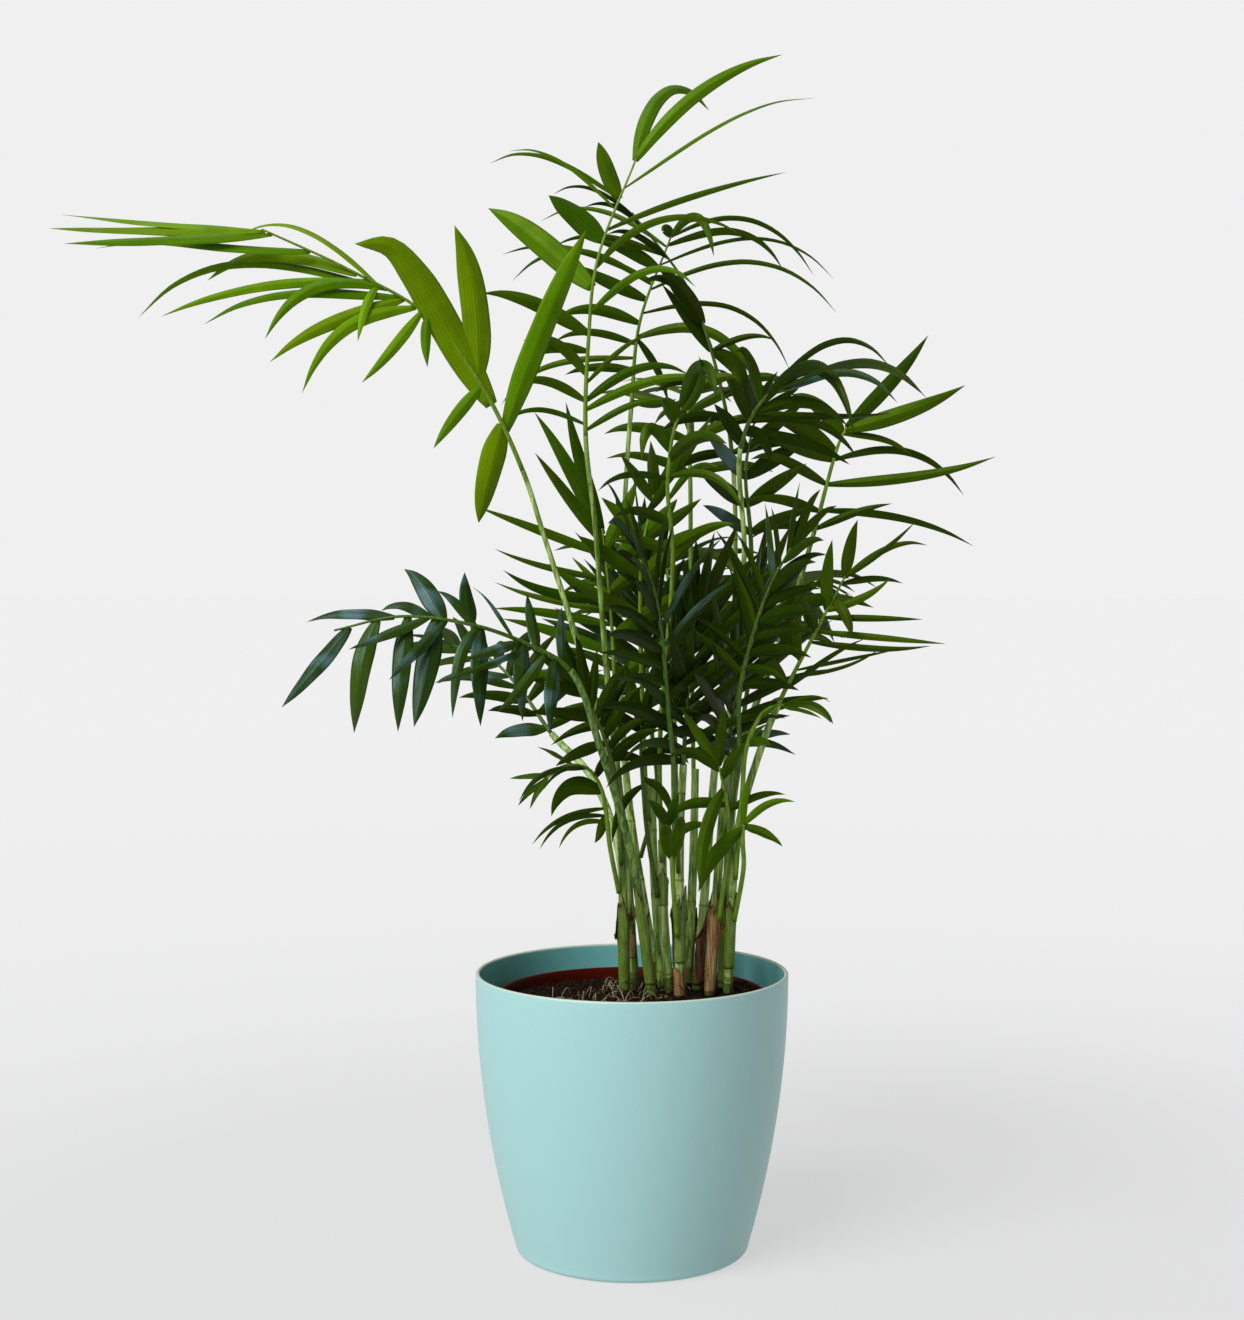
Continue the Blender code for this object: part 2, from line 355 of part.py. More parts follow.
FRONDS["frond_front_right"] = dict(
    cane="cane_10", height=0.285, colour=DARK_GREEN, seed=52,
    stem=((0.072, -0.048, 0.350),),
    rib=((0.072, -0.062, 0.395), (0.080, -0.080, 0.436), (0.090, -0.098, 0.468), (0.102, -0.112, 0.492)),
    face=((-0.3, -0.9, 0.6), (-0.2, -0.9, 0.8)),
    right=[row((0.05, 0.90), (50, 62, 66, 60, 52), (60, 48, 38, 30, 24), (8, 8, 9, 8, 7),
               lift=0.1, droop=0.2)],
    left=[row((0.12, 0.95), (56, 66, 64, 56, 46), (64, 50, 38, 30, 24), (8, 9, 9, 8, 7),
              lift=0.1, droop=(0.1, 0.2))],
    extra=((0.99, 8, 50, 8, 0, 0.2, 0), (0.99, -12, 46, 8, 0, 0.2, 0)))
FRONDS["frond_rear"] = dict(
    cane="cane_08", colour=DARK_GREEN, seed=54,
    stem=((0.034, 0.048, 0.182), (0.032, 0.060, 0.300), (0.031, 0.085, 0.380)),
    rib=((0.030, 0.110, 0.430), (0.028, 0.160, 0.480), (0.026, 0.210, 0.485), (0.025, 0.245, 0.465)),
    face=((0, 0, 1), (0, 0, 1)),
    right=[row((0.05, 0.95), (80, 92, 96, 88, 75, 60), (75, 68, 60, 50, 42, 35), (11, 12, 12, 11, 10, 9),
               lift=0.1, droop=0.3)],
    left=[row((0.05, 0.95), (80, 92, 96, 88, 75, 60), (75, 68, 60, 50, 42, 35), (11, 12, 12, 11, 10, 9),
              lift=0.1, droop=0.3)],
    extra=((0.99, 10, 65, 10, 0, 0.3, 0), (0.99, -12, 65, 10, 0, 0.3, 0)))
FRONDS["frond_rear_right"] = dict(
    cane="cane_11", height=0.290, colour=DARK_GREEN, seed=55,
    stem=((0.076, 0.062, 0.370),),
    rib=((0.086, 0.090, 0.420), (0.105, 0.130, 0.465), (0.125, 0.170, 0.475), (0.138, 0.195, 0.460)),
    face=((0, 0, 1), (0, 0, 1)),
    right=[row((0.05, 0.95), (75, 85, 85, 80, 65, 55), (75, 68, 60, 50, 42, 35), (11, 12, 12, 11, 10, 9),
               lift=0.1, droop=0.3)],
    left=[row((0.05, 0.95), (75, 85, 85, 80, 65, 55), (75, 68, 60, 50, 42, 35), (11, 12, 12, 11, 10, 9),
              lift=0.1, droop=0.3)],
    extra=((0.99, 10, 60, 10, 0, 0.3, 0), (0.99, -12, 60, 10, 0, 0.3, 0)))
FRONDS["frond_rear_high"] = dict(
    cane="cane_14", height=0.310, colour=LEAF_GREEN, seed=57,
    stem=((0.044, 0.065, 0.420), (0.044, 0.090, 0.500)),
    rib=((0.044, 0.100, 0.545), (0.043, 0.130, 0.600), (0.042, 0.175, 0.622), (0.042, 0.210, 0.612)),
    face=((0, -0.3, 1), (0, 0, 1)),
    right=[row((0.05, 0.95), (60, 70, 75, 70, 60, 50), (75, 68, 60, 50, 42, 35), (9, 10, 10, 9, 9, 8),
               lift=0.1, droop=0.25)],
    left=[row((0.05, 0.95), (60, 70, 75, 70, 60, 50), (75, 68, 60, 50, 42, 35), (9, 10, 10, 9, 9, 8),
              lift=0.1, droop=0.25)],
    extra=((0.99, 10, 60, 9, 0, 0.25, 0), (0.99, -12, 60, 9, 0, 0.25, 0)))

# Short canes whose own top has no frond
BARE_CANES = {
    "cane_06": ((0.022, 0.008, 0.182), (0.016, 0.014, 0.260), (0.014, 0.016, 0.330)),
    "cane_14": ((0.040, 0.024, 0.182), (0.044, 0.034, 0.260), (0.046, 0.040, 0.335)),
    "cane_15": ((0.026, -0.008, 0.182), (0.022, -0.010, 0.240), (0.021, -0.011, 0.290)),
}

# A leaflet that would touch another part tries these changes of its angle in degrees, its lift and
# its length, one after the other, and is left out where none is clear.
CHANGES = ((0, 0, 1), (0, 0.18, 1), (0, -0.18, 1), (8, 0, 1), (-8, 0, 1), (8, 0.2, 1), (-8, 0.2, 1),
           (8, -0.2, 1), (-8, -0.2, 1), (0, 0.4, 0.9), (0, -0.4, 0.9), (16, 0.2, 0.85), (-16, -0.2, 0.85),
           (0, 0, 0.7), (0, 0.3, 0.6), (0, -0.3, 0.6), (0, 0, 0.45))


def unit(vector):
    vector = np.asarray(vector, float)
    return vector / max(np.linalg.norm(vector), 1e-12)


def smooth_curve(points, steps):
    """Points along the centripetal spline through the given points, steps to each span."""
    given = [np.asarray(point, float) for point in points]
    given = [2 * given[0] - given[1]] + given + [2 * given[-1] - given[-2]]
    curve = []
    for i in range(len(given) - 3):
        a, b, c, d = given[i:i + 4]
        knots = [0.0]
        for start, end in ((a, b), (b, c), (c, d)):
            knots.append(knots[-1] + np.linalg.norm(end - start) ** 0.5)
        t0, t1, t2, t3 = knots
        for step in range(steps):
            t = t1 + (t2 - t1) * step / steps
            ab = ((t1 - t) * a + (t - t0) * b) / (t1 - t0)
            bc = ((t2 - t) * b + (t - t1) * c) / (t2 - t1)
            cd = ((t3 - t) * c + (t - t2) * d) / (t3 - t2)
            abc = ((t2 - t) * ab + (t - t0) * bc) / (t2 - t0)
            bcd = ((t3 - t) * bc + (t - t1) * cd) / (t3 - t1)
            curve.append(((t2 - t) * abc + (t - t1) * bcd) / (t2 - t1))
    curve.append(given[-2])
    return np.array(curve)


def along(curve):
    """Length of the curve up to each of its points."""
    return np.concatenate([[0.0], np.cumsum(np.linalg.norm(np.diff(curve, axis=0), axis=1))])


def point_at(curve, share):
    lengths = along(curve)
    return np.array([np.interp(share * lengths[-1], lengths, curve[:, k]) for k in range(3)])


def tangent_at(curve, share, reach=0.02):
    return unit(point_at(curve, min(1.0, share + reach)) - point_at(curve, max(0.0, share - reach)))


def spread(values, share):
    """Value at a share of the way through evenly spaced values, or the one value given."""
    if np.isscalar(values):
        return float(values)
    return float(np.interp(share, np.linspace(0, 1, len(values)), values))


def frame_at(rib, face, share):
    """Along the rib, out of its upper side, and to its right."""
    tangent = tangent_at(rib, share)
    normal = np.array([spread([way[k] for way in face], share) for k in range(3)])
    normal = unit(normal - np.dot(normal, tangent) * tangent)
    return tangent, normal, np.cross(tangent, normal)


def leaflet_line(root, direction, length, droop, curl, sideways, steps=6):
    """Middle line of a leaflet that sags and curls to the side more and more towards its tip."""
    down = np.array([0.0, 0.0, -1.0])
    line = [root]
    for step in range(steps):
        share = (step + 0.5) / steps
        turn = down * droop * 3 * share ** 2 + sideways * curl * 2 * share
        line.append(line[-1] + unit(direction + turn) * length / steps)
    return np.array(line)


def leaflet_plans(frond):
    """Each leaflet's place on the rib and its angle, length, width, lift, droop and curl."""
    random = np.random.default_rng(frond["seed"])
    plans = []
    for side, rows in ((1.0, frond["right"]), (-1.0, frond["left"])):
        for part in rows:
            count = len(part["lengths"])
            for i, length in enumerate(part["lengths"]):
                share = i / max(1, count - 1)
                stray = random.uniform(-1, 1, 5)
                plans.append(dict(
                    at=part["at"][0] + (part["at"][1] - part["at"][0]) * share,
                    angle=side * (spread(part["angles"], share) + 8 * stray[0]),
                    lift=spread(part["lift"], share) + 0.12 * stray[1],
                    length=length * MM * (1 + 0.09 * stray[2]),
                    droop=spread(part["droop"], share) + 0.04 * stray[3],
                    width=spread(part["width"], share) * MM * (1 + 0.1 * stray[4]),
                    curl=spread(part["curl"], share)))
    frontal = abs(unit(np.array(frond["face"][-1]))[1]) > FRONTAL
    for at, angle, length, width, lift, droop, curl in frond["extra"]:
        swung = lift + (SWING * random.uniform(-0.7, 1.0) if frontal else 0.0)
        longer = math.hypot(1, swung) / math.hypot(1, lift)
        plans.append(dict(at=at, angle=angle, lift=swung, length=length * MM * longer, droop=droop,
                          width=width * MM, curl=curl))
    return plans


def leaflet(frond, rib, plan, change):
    """Middle line, width and upper direction of one leaflet after a change."""
    turn, rise, shrink = change
    tangent, normal, right = frame_at(rib, frond["face"], plan["at"])
    angle = math.radians(plan["angle"] + math.copysign(turn, turn * plan["angle"]))
    direction = unit(math.cos(angle) * tangent + math.sin(angle) * right + (plan["lift"] + rise) * normal)
    line = leaflet_line(point_at(rib, plan["at"]), direction, plan["length"] * shrink, plan["droop"],
                        plan["curl"], right)
    return line, plan["width"], normal


def cane_radius(height):
    return float(np.interp(height, (SOIL_CROWN, CANE_MIDDLE_HEIGHT, CANE_NECK_HEIGHT),
                           (CANE_RADIUS, CANE_MIDDLE_RADIUS, NECK_RADIUS)))


def cane_curves():
    """Middle line of every cane, from the soil to its neck or its cut top."""
    curves = {name: smooth_curve(points, STEPS) for name, points in BARE_CANES.items()}
    for frond in FRONDS.values():
        if "height" not in frond:
            curve = smooth_curve(frond["stem"] + frond["rib"], STEPS)
            curves[frond["cane"]] = curve[:len(frond["stem"]) * STEPS + 1]
    return curves


def at_height(curve, height):
    return np.array([np.interp(height, curve[:, 2], curve[:, k]) for k in range(3)])


def frond_curves(frond, canes):
    """Middle lines of a frond's stalk, from its cane's side or the soil, and of its rib."""
    stem = frond["stem"]
    if "height" in frond:
        start = at_height(canes[frond["cane"]], frond["height"])
        outward = np.array(stem[0]) - start
        outward[2] = 0
        start = start + unit(outward) * (cane_radius(frond["height"]) + NECK_RADIUS + GAP)
        stem = (tuple(start),) + stem
    curve = smooth_curve(stem + frond["rib"], STEPS)
    neck = len(stem) * STEPS
    return curve[:neck + 1], curve[neck:]


def tangents_of(curve):
    """Direction of the curve at each of its points."""
    ends = [(max(i - 1, 0), min(i + 1, len(curve) - 1)) for i in range(len(curve))]
    return [unit(curve[after] - curve[before]) for before, after in ends]


def sweep(curve, tangents, radii, sides, facing):
    """Triangles of a capped tube along the curve, a flat of it facing each point's direction."""
    vertices = []
    for i, (point, tangent, radius) in enumerate(zip(curve, tangents, radii)):
        side = unit(facing[i] - np.dot(facing[i], tangent) * tangent)
        other = np.cross(tangent, side)
        for k in range(sides):
            turn = 2 * math.pi * (k + 0.5) / sides
            vertices.append(point + radius * (math.cos(turn) * side + math.sin(turn) * other))
    last = (len(curve) - 1) * sides
    faces = [(0, k + 1, k) for k in range(1, sides - 1)]
    faces += [(last, last + k, last + k + 1) for k in range(1, sides - 1)]
    for start in range(0, last, sides):
        for k in range(sides):
            a = start + k
            b = start + (k + 1) % sides
            faces += [(a, b, b + sides), (a, b + sides, a + sides)]
    return vertices, faces


def blade(line, width, normal, grow=0.0):
    """Triangles of a leaflet: a keeled blade, wide near its middle, with a small sunk root."""
    length = along(line)[-1]
    depth = max(BLADE_THINNEST, length * BLADE_SHARE)
    bend = np.linalg.norm(unit(line[-1] - line[-2]) - unit(line[1] - line[0]))
    middles = (2, 4) if length > LONG_BLADE or bend > STRONG_BEND else (3,)
    sections = [(0, ROOT_WIDTH, ROOT_DEPTH)]
    sections += [(i, width * {2: 0.96, 3: 0.94, 4: 0.78}[i], depth) for i in middles]
    vertices = []
    for i, wide, deep in sections:
        tangent = unit(line[i + 1] - line[max(i - 1, 0)])
        right = unit(np.cross(tangent, normal))
        upper = np.cross(right, tangent)
        point = line[i] - (tangent * grow if i == 0 else 0)
        vertices += [point + right * (wide / 2 + grow) + upper * grow,
                     point - right * (wide / 2 + grow) + upper * grow,
                     point - upper * (deep + grow)]
    vertices.append(line[-1] + unit(line[-1] - line[-2]) * grow)
    faces = [(2, 1, 0)]
    last = len(middles) * 3
    for start in range(0, last, 3):
        for a, b in ((0, 1), (1, 2), (2, 0)):
            faces += [(start + a, start + b, start + b + 3), (start + a, start + b + 3, start + a + 3)]
    faces += [(last, last + 1, last + 3), (last + 1, last + 2, last + 3), (last + 2, last, last + 3)]
    return vertices, faces


def lathe(profile, sides):
    """Vertices and faces of a solid turned from a profile that starts and ends on the axis."""
    vertices = [(0.0, 0.0, profile[0][1])]
    for radius, height in profile[1:-1]:
        for k in range(sides):
            turn = 2 * math.pi * k / sides
            vertices.append((radius * math.cos(turn), radius * math.sin(turn), height))
    vertices.append((0.0, 0.0, profile[-1][1]))
    faces = []
    rings = len(profile) - 2
    for k in range(sides):
        after = (k + 1) % sides
        faces.append((0, 1 + after, 1 + k))
        for ring in range(rings - 1):
            a = 1 + ring * sides
            faces.append((a + k, a + after, a + sides + after, a + sides + k))
        a = 1 + (rings - 1) * sides
        faces.append((a + k, a + after, len(vertices) - 1))
    return vertices, faces


def add_mesh(name, vertices, faces, material, smooth=False):
    """A new object with the mesh, its faces turned outwards."""
    mesh = bpy.data.meshes.new(name)
    mesh.from_pydata([tuple(float(c) for c in vertex) for vertex in vertices], [], faces)
    shape = bmesh.new()
    shape.from_mesh(mesh)
    bmesh.ops.recalc_face_normals(shape, faces=shape.faces)
    shape.to_mesh(mesh)
    shape.free()
    mesh.materials.append(material)
    if smooth:
        mesh.shade_smooth()
        mesh.set_sharp_from_angle(angle=math.radians(40))
    piece = bpy.data.objects.new(name, mesh)
    bpy.context.scene.collection.objects.link(piece)
    return piece


def make_material(name, colour, roughness):
    material = bpy.data.materials.new(name)
    material.use_nodes = True
    shader = material.node_tree.nodes["Principled BSDF"]
    shader.inputs["Base Color"].default_value = (*colour, 1.0)
    shader.inputs["Roughness"].default_value = roughness
    shader.inputs["Metallic"].default_value = 0.0
    return material


def arc(centre, radius, start, end, steps):
    """Points of a round corner, angles in degrees."""
    turns = np.radians(np.linspace(start, end, steps + 1))
    return [(centre[0] + radius * math.cos(t), centre[1] + radius * math.sin(t)) for t in turns]


def pot_radius(height):
    """Outer radius of the cover pot, which flares less and less towards its rim."""
    return POT_RIM_RADIUS - POT_FLARE * (1 - height / POT_HEIGHT) ** 2


def build_pot(material):
    """The cover pot: a flat foot with a round corner, a flared wall and a round lip."""
    lip = POT_WALL / 2
    heights = (0.025, 0.06, 0.10, 0.15)
    foot = pot_radius(POT_CORNER)
    profile = [(0.0, 0.0)]
    profile += arc((foot - POT_CORNER, POT_CORNER), POT_CORNER, -90, -5, 3)
    profile += [(pot_radius(height), height) for height in heights]
    profile += arc((POT_RIM_RADIUS - lip, POT_HEIGHT - lip), lip, 0, 180, 4)
    profile += [(pot_radius(height) - POT_WALL, height) for height in reversed(heights)]
    profile += [(foot - POT_WALL - 2 * MM, POT_FLOOR + 3 * MM), (foot - POT_WALL - 5 * MM, POT_FLOOR)]
    profile.append((0.0, POT_FLOOR))
    add_mesh("pot", *lathe(profile, POT_SIDES), material, smooth=True)


def nursery_radius(height):
    """Outer radius of the straight-sided nursery pot."""
    share = (height - POT_FLOOR) / (NURSERY_TOP - POT_FLOOR)
    return NURSERY_FOOT_RADIUS + (NURSERY_RIM_RADIUS - NURSERY_FOOT_RADIUS) * share


def build_nursery_pot(material):
    """The plain nursery pot that stands inside the cover pot."""
    foot = POT_FLOOR + GAP
    floor = foot + NURSERY_WALL
    profile = [(0.0, foot), (nursery_radius(foot), foot), (nursery_radius(NURSERY_TOP), NURSERY_TOP),
               (nursery_radius(NURSERY_TOP) - NURSERY_WALL, NURSERY_TOP),
               (nursery_radius(floor) - NURSERY_WALL, floor), (0.0, floor)]
    add_mesh("nursery_pot", *lathe(profile, POT_SIDES), material, smooth=True)


def soil_height(x, y):
    """Top of the soil: level round the canes and falling to the nursery pot's wall."""
    away = math.hypot(x - SOIL_CENTRE_X, y - SOIL_CENTRE_Y) - SOIL_CROWN_RADIUS
    share = min(1.0, max(0.0, away / SOIL_FALL))
    return SOIL_CROWN - (SOIL_CROWN - SOIL_EDGE) * share ** 2 * (3 - 2 * share)


def build_soil(material):
    """The soil that fills the nursery pot, mounded round the canes."""
    floor = POT_FLOOR + GAP + NURSERY_WALL + GAP
    wall = NURSERY_WALL + 2 * GAP
    rim = nursery_radius(SOIL_EDGE) - wall
    profile = [(0.0, floor), (nursery_radius(floor) - wall, floor), (rim, SOIL_EDGE)]
    profile += [(rim * share, SOIL_CROWN) for share in (0.95, 0.85, 0.7, 0.5, 0.25)]
    profile.append((0.0, SOIL_CROWN))
    vertices, faces = lathe(profile, 32)
    raised = [(x, y, soil_height(x, y) if z > SOIL_EDGE else z) for x, y, z in vertices]
    add_mesh("soil", raised, faces, material)


def tree_of(vertices, faces):
    """Search tree of a solid, with the corners of its box."""
    points = np.array(vertices, float)
    return BVHTree.FromPolygons([Vector(p) for p in points], faces), points.min(axis=0), points.max(axis=0)


def is_clear(candidate, owner, solids):
    """Whether a solid stays off every solid of the other parts."""
    tree, low, high = candidate
    for other, other_tree, other_low, other_high in solids:
        if other == owner or np.any(low > other_high) or np.any(high < other_low):
            continue
        if tree.overlap(other_tree):
            return False
    return True


def frond_core(frond, canes):
    """Triangles of a frond's own stalk and rib, a flat of it to the right and to the left."""
    stalk, rib = frond_curves(frond, canes)
    tangents = tangents_of(np.vstack([stalk[:-1], rib]))
    shares = along(rib) / along(rib)[-1]
    facing = [frame_at(rib, frond["face"], share)[2] for share in shares]
    radii = [NECK_RADIUS + (RIB_TIP_RADIUS - NECK_RADIUS) * share for share in shares]
    if "height" in frond:
        before = len(stalk) - 1
        line = np.vstack([stalk[:-1], rib])
        radii = [NECK_RADIUS] * before + radii
        return sweep(line, tangents, radii, RIB_SIDES, [facing[0]] * before + facing)
    tangents = tangents[len(stalk) - 1:]
    line = rib.copy()
    line[0] += tangents[0] * GAP / 2
    return sweep(line, tangents, radii, RIB_SIDES, facing)


def cane_solid(name, canes):
    """Triangles of a cane: cut flat just above the soil and square just under its frond."""
    curve = canes[name].copy()
    tangents = tangents_of(curve)
    for frond in FRONDS.values():
        if frond["cane"] == name and "height" not in frond:
            stalk, rib = frond_curves(frond, canes)
            tangents[-1] = unit(rib[1] - stalk[-2])
            curve[-1] -= tangents[-1] * GAP / 2
    radii = [cane_radius(point[2]) for point in curve]
    vertices, faces = sweep(curve, tangents, radii, CANE_SIDES, [np.array((1.0, 0.0, 0.0))] * len(curve))
    for vertex in vertices[:CANE_SIDES]:
        vertex[2] = SOIL_CROWN + GAP
    return vertices, faces


def join(name, pieces):
    """One body from overlapping pieces: a union, without loose scraps or sealed hollows."""
    first, *others = pieces
    group = bpy.data.collections.new(name + "_pieces")
    for piece in others:
        group.objects.link(piece)
    union = first.modifiers.new("Union", "BOOLEAN")
    union.operation = "UNION"
    union.operand_type = "COLLECTION"
    union.collection = group
    union.solver = "MANIFOLD"
    graph = bpy.context.evaluated_depsgraph_get()
    joined = bpy.data.meshes.new_from_object(first.evaluated_get(graph))
    first.modifiers.clear()
    first.data = joined
    for piece in others:
        bpy.data.objects.remove(piece)
    bpy.data.collections.remove(group)
    keep_largest_shell(joined)
    first.name = name
    joined.name = name


def keep_largest_shell(mesh):
    """Drop every closed shell of the mesh but the largest one."""
    shape = bmesh.new()
    shape.from_mesh(mesh)
    bmesh.ops.triangulate(shape, faces=shape.faces)
    seen = set()
    shells = []
    for start in shape.faces:
        if start in seen:
            continue
        seen.add(start)
        shell = [start]
        for face in shell:
            for edge in face.edges:
                for near in edge.link_faces:
                    if near not in seen:
                        seen.add(near)
                        shell.append(near)
        shells.append(shell)
    shells.sort(key=len)
    for shell in shells[:-1]:
        bmesh.ops.delete(shape, geom=shell, context="FACES")
    loose = [vertex for vertex in shape.verts if not vertex.link_faces]
    bmesh.ops.delete(shape, geom=loose, context="VERTS")
    shape.to_mesh(mesh)
    shape.free()


def build_palm(materials):
    """Canes first, then the stalk and rib of every frond, then the leaflets where they are clear."""
    canes = cane_curves()
    solids = []
    for name in canes:
        solid = cane_solid(name, canes)
        add_mesh(name, *solid, materials[CANE_GREEN], smooth=True)
        solids.append((name, *tree_of(*solid)))
    ribs = {}
    for name, frond in FRONDS.items():
        ribs[name] = frond_core(frond, canes)
        solids.append((name, *tree_of(*ribs[name])))
    for name, frond in FRONDS.items():
        material = materials[frond["colour"]]
        pieces = [add_mesh(name, *ribs[name], material)]
        rib = frond_curves(frond, canes)[1]
        for plan in leaflet_plans(frond):
            for change in CHANGES:
                shape = leaflet(frond, rib, plan, change)
                grown = tree_of(*blade(*shape, grow=CLEARANCE))
                if is_clear(grown, name, solids):
                    solid = blade(*shape)
                    pieces.append(add_mesh(name + "_leaflet", *solid, material))
                    solids.append((name, *tree_of(*solid)))
                    break
        join(name, pieces)


def main():
    for old in list(bpy.data.objects):
        bpy.data.objects.remove(old)
    build_pot(make_material("turquoise_plastic", TURQUOISE, 0.35))
    build_nursery_pot(make_material("red_brown_plastic", RED_BROWN, 0.45))
    build_soil(make_material("dark_soil", DARK_SOIL, 0.95))
    materials = {CANE_GREEN: make_material("cane_green", CANE_GREEN, 0.45),
                 YOUNG_GREEN: make_material("young_leaf", YOUNG_GREEN, 0.42),
                 LEAF_GREEN: make_material("green_leaf", LEAF_GREEN, 0.40),
                 DARK_GREEN: make_material("dark_leaf", DARK_GREEN, 0.38)}
    build_palm(materials)


main()
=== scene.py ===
"""Looks of the potted parlour palm: fine leaflets, ringed canes with torn sheaths, soil, pots, light.

Metres, +Z up, -Y the front. Fronds and canes grow by the rule of their solids, carried finer.
"""
import math

import bpy
import numpy as np
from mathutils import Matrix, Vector, noise
from mathutils.kdtree import KDTree


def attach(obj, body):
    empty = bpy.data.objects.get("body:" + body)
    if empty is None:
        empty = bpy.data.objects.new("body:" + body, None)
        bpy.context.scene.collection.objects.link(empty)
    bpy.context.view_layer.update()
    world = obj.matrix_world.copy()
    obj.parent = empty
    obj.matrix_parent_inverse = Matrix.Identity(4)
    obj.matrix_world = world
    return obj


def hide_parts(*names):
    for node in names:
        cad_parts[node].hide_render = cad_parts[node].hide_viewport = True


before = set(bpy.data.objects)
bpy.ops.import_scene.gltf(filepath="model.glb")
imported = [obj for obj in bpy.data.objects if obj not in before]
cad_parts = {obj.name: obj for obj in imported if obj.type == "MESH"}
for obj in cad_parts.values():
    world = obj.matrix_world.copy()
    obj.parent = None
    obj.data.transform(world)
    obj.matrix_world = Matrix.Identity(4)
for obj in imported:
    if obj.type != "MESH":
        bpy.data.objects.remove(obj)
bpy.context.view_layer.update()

MM = 0.001
GAP = 0.0003

# Cover pot
POT_HEIGHT = 0.196
POT_RIM_RADIUS = 0.110
POT_FLARE = 0.0287
POT_WALL = 0.003
POT_FLOOR = 0.004
POT_CORNER = 0.004

# Nursery pot and soil
NURSERY_RIM_RADIUS = 0.0945
NURSERY_FOOT_RADIUS = 0.070
NURSERY_TOP = 0.181
NURSERY_WALL = 0.0014
SOIL_EDGE = 0.174
SOIL_CROWN = 0.182
SOIL_CROWN_RADIUS = 0.047
SOIL_FALL = 0.022
SOIL_CENTRE_X = 0.032
SOIL_CENTRE_Y = 0.012

# Canes, stalks and ribs
CANE_RADIUS = 0.0036
CANE_MIDDLE_RADIUS = 0.0025
NECK_RADIUS = 0.0017
CANE_MIDDLE_HEIGHT = 0.36
CANE_NECK_HEIGHT = 0.50
STEPS = 3

# Most that a single leaflet swings out of its frond's plane, so that the crown is full from its sides,
# and how far towards the front a frond faces for its leaflets to swing
SWING = 0.55
SWING_BACK = 0.7
FRONTAL = 0.9

# Scatter of the leaflets of a row: of their angle in degrees, lift, length, droop and width
SCATTER = (8, 0.12, 0.09, 0.04, 0.1)

YOUNG_GREEN = "young"
LEAF_GREEN = "green"
DARK_GREEN = "deep"

# Fine leaflets: shares of the length or of the half width, sizes in metres, twist in degrees
LEAF_STEPS = 4
LEAF_COLUMNS = 10
LEAF_THICKNESS = 0.00035
LEAF_EDGE = 0.00012
LEAF_FOLD = 0.30
LEAF_PEAK = 0.34
LEAF_ROOT = 0.38
LEAF_TIP = 0.012
LEAF_TWIST = 26
LEAF_RIPPLE = 0.07
PLEAT = 0.00010
PLEAT_FULL_HALF = 0.003
MIDRIB = 0.00028
BROAD = 0.0115
BLUNT = 3.2
POINTED = 2.1
YOUNG_WIDTH = 1.3
WAXY_SHARE = 0.10
VEINS = 9
UV_SCALE = 20
LEAF_SEED = 1000

# A finer leaflet between two neighbours, as shares of their mean, and its lift to either side
BETWEEN_LENGTH = 0.86
BETWEEN_WIDTH = 0.8
BETWEEN_LIFT = 0.22
NEIGHBOURS = 0.3
PAIRS_END = 0.95

# How near a leaflet's tip lies to a vertex of its solid
TIP_MATCH = 0.00006

# Fine ribs and canes
RIB_STEPS = 10
RIB_SIDES = 10
RIB_END_RADIUS = 0.0007
CANE_FINENESS = 40
CANE_STEP = 0.0016
CANE_SIDES = 18
CANE_SEED = 300
RING_HEIGHT = 0.0013
RING_RISE = 0.00022
RING_FULL_RADIUS = 0.003
RINGS_END = 0.17
SHEATH_ROWS = 26
SHEATH_COLUMNS = 28
SHEATH_THICKNESS = 0.0003

# Old leaf sheaths: cane, lower and upper height, wrap and facing in degrees, flare, kind
SHEATHS = (
    ("cane_01", 0.184, 0.252, 300, 15, 0.0022, "green"),
    ("cane_02", 0.205, 0.236, 130, -30, 0.0016, "tan"),
    ("cane_03", 0.184, 0.230, 280, 160, 0.0018, "tan"),
    ("cane_04", 0.190, 0.259, 320, -20, 0.0010, "green"),
    ("cane_05", 0.184, 0.226, 280, -150, 0.0018, "tan"),
    ("cane_07", 0.206, 0.259, 170, 35, 0.0016, "green"),
    ("cane_07", 0.183, 0.204, 280, -20, 0.0009, "tan"),
    ("cane_08", 0.190, 0.248, 300, 150, 0.0016, "green"),
    ("cane_09", 0.186, 0.240, 300, 90, 0.0014, "brown"),
    ("cane_10", 0.184, 0.257, 240, 5, 0.0026, "tan"),
    ("cane_11", 0.186, 0.250, 300, 120, 0.0016, "brown"),
    ("cane_12", 0.186, 0.262, 300, 60, 0.0014, "green"),
    ("cane_13", 0.200, 0.256, 310, 20, 0.0009, "green"),
    ("cane_14", 0.190, 0.235, 260, 170, 0.0016, "tan"),
    ("cane_15", 0.244, 0.270, 200, 0, 0.0008, "green"),
)

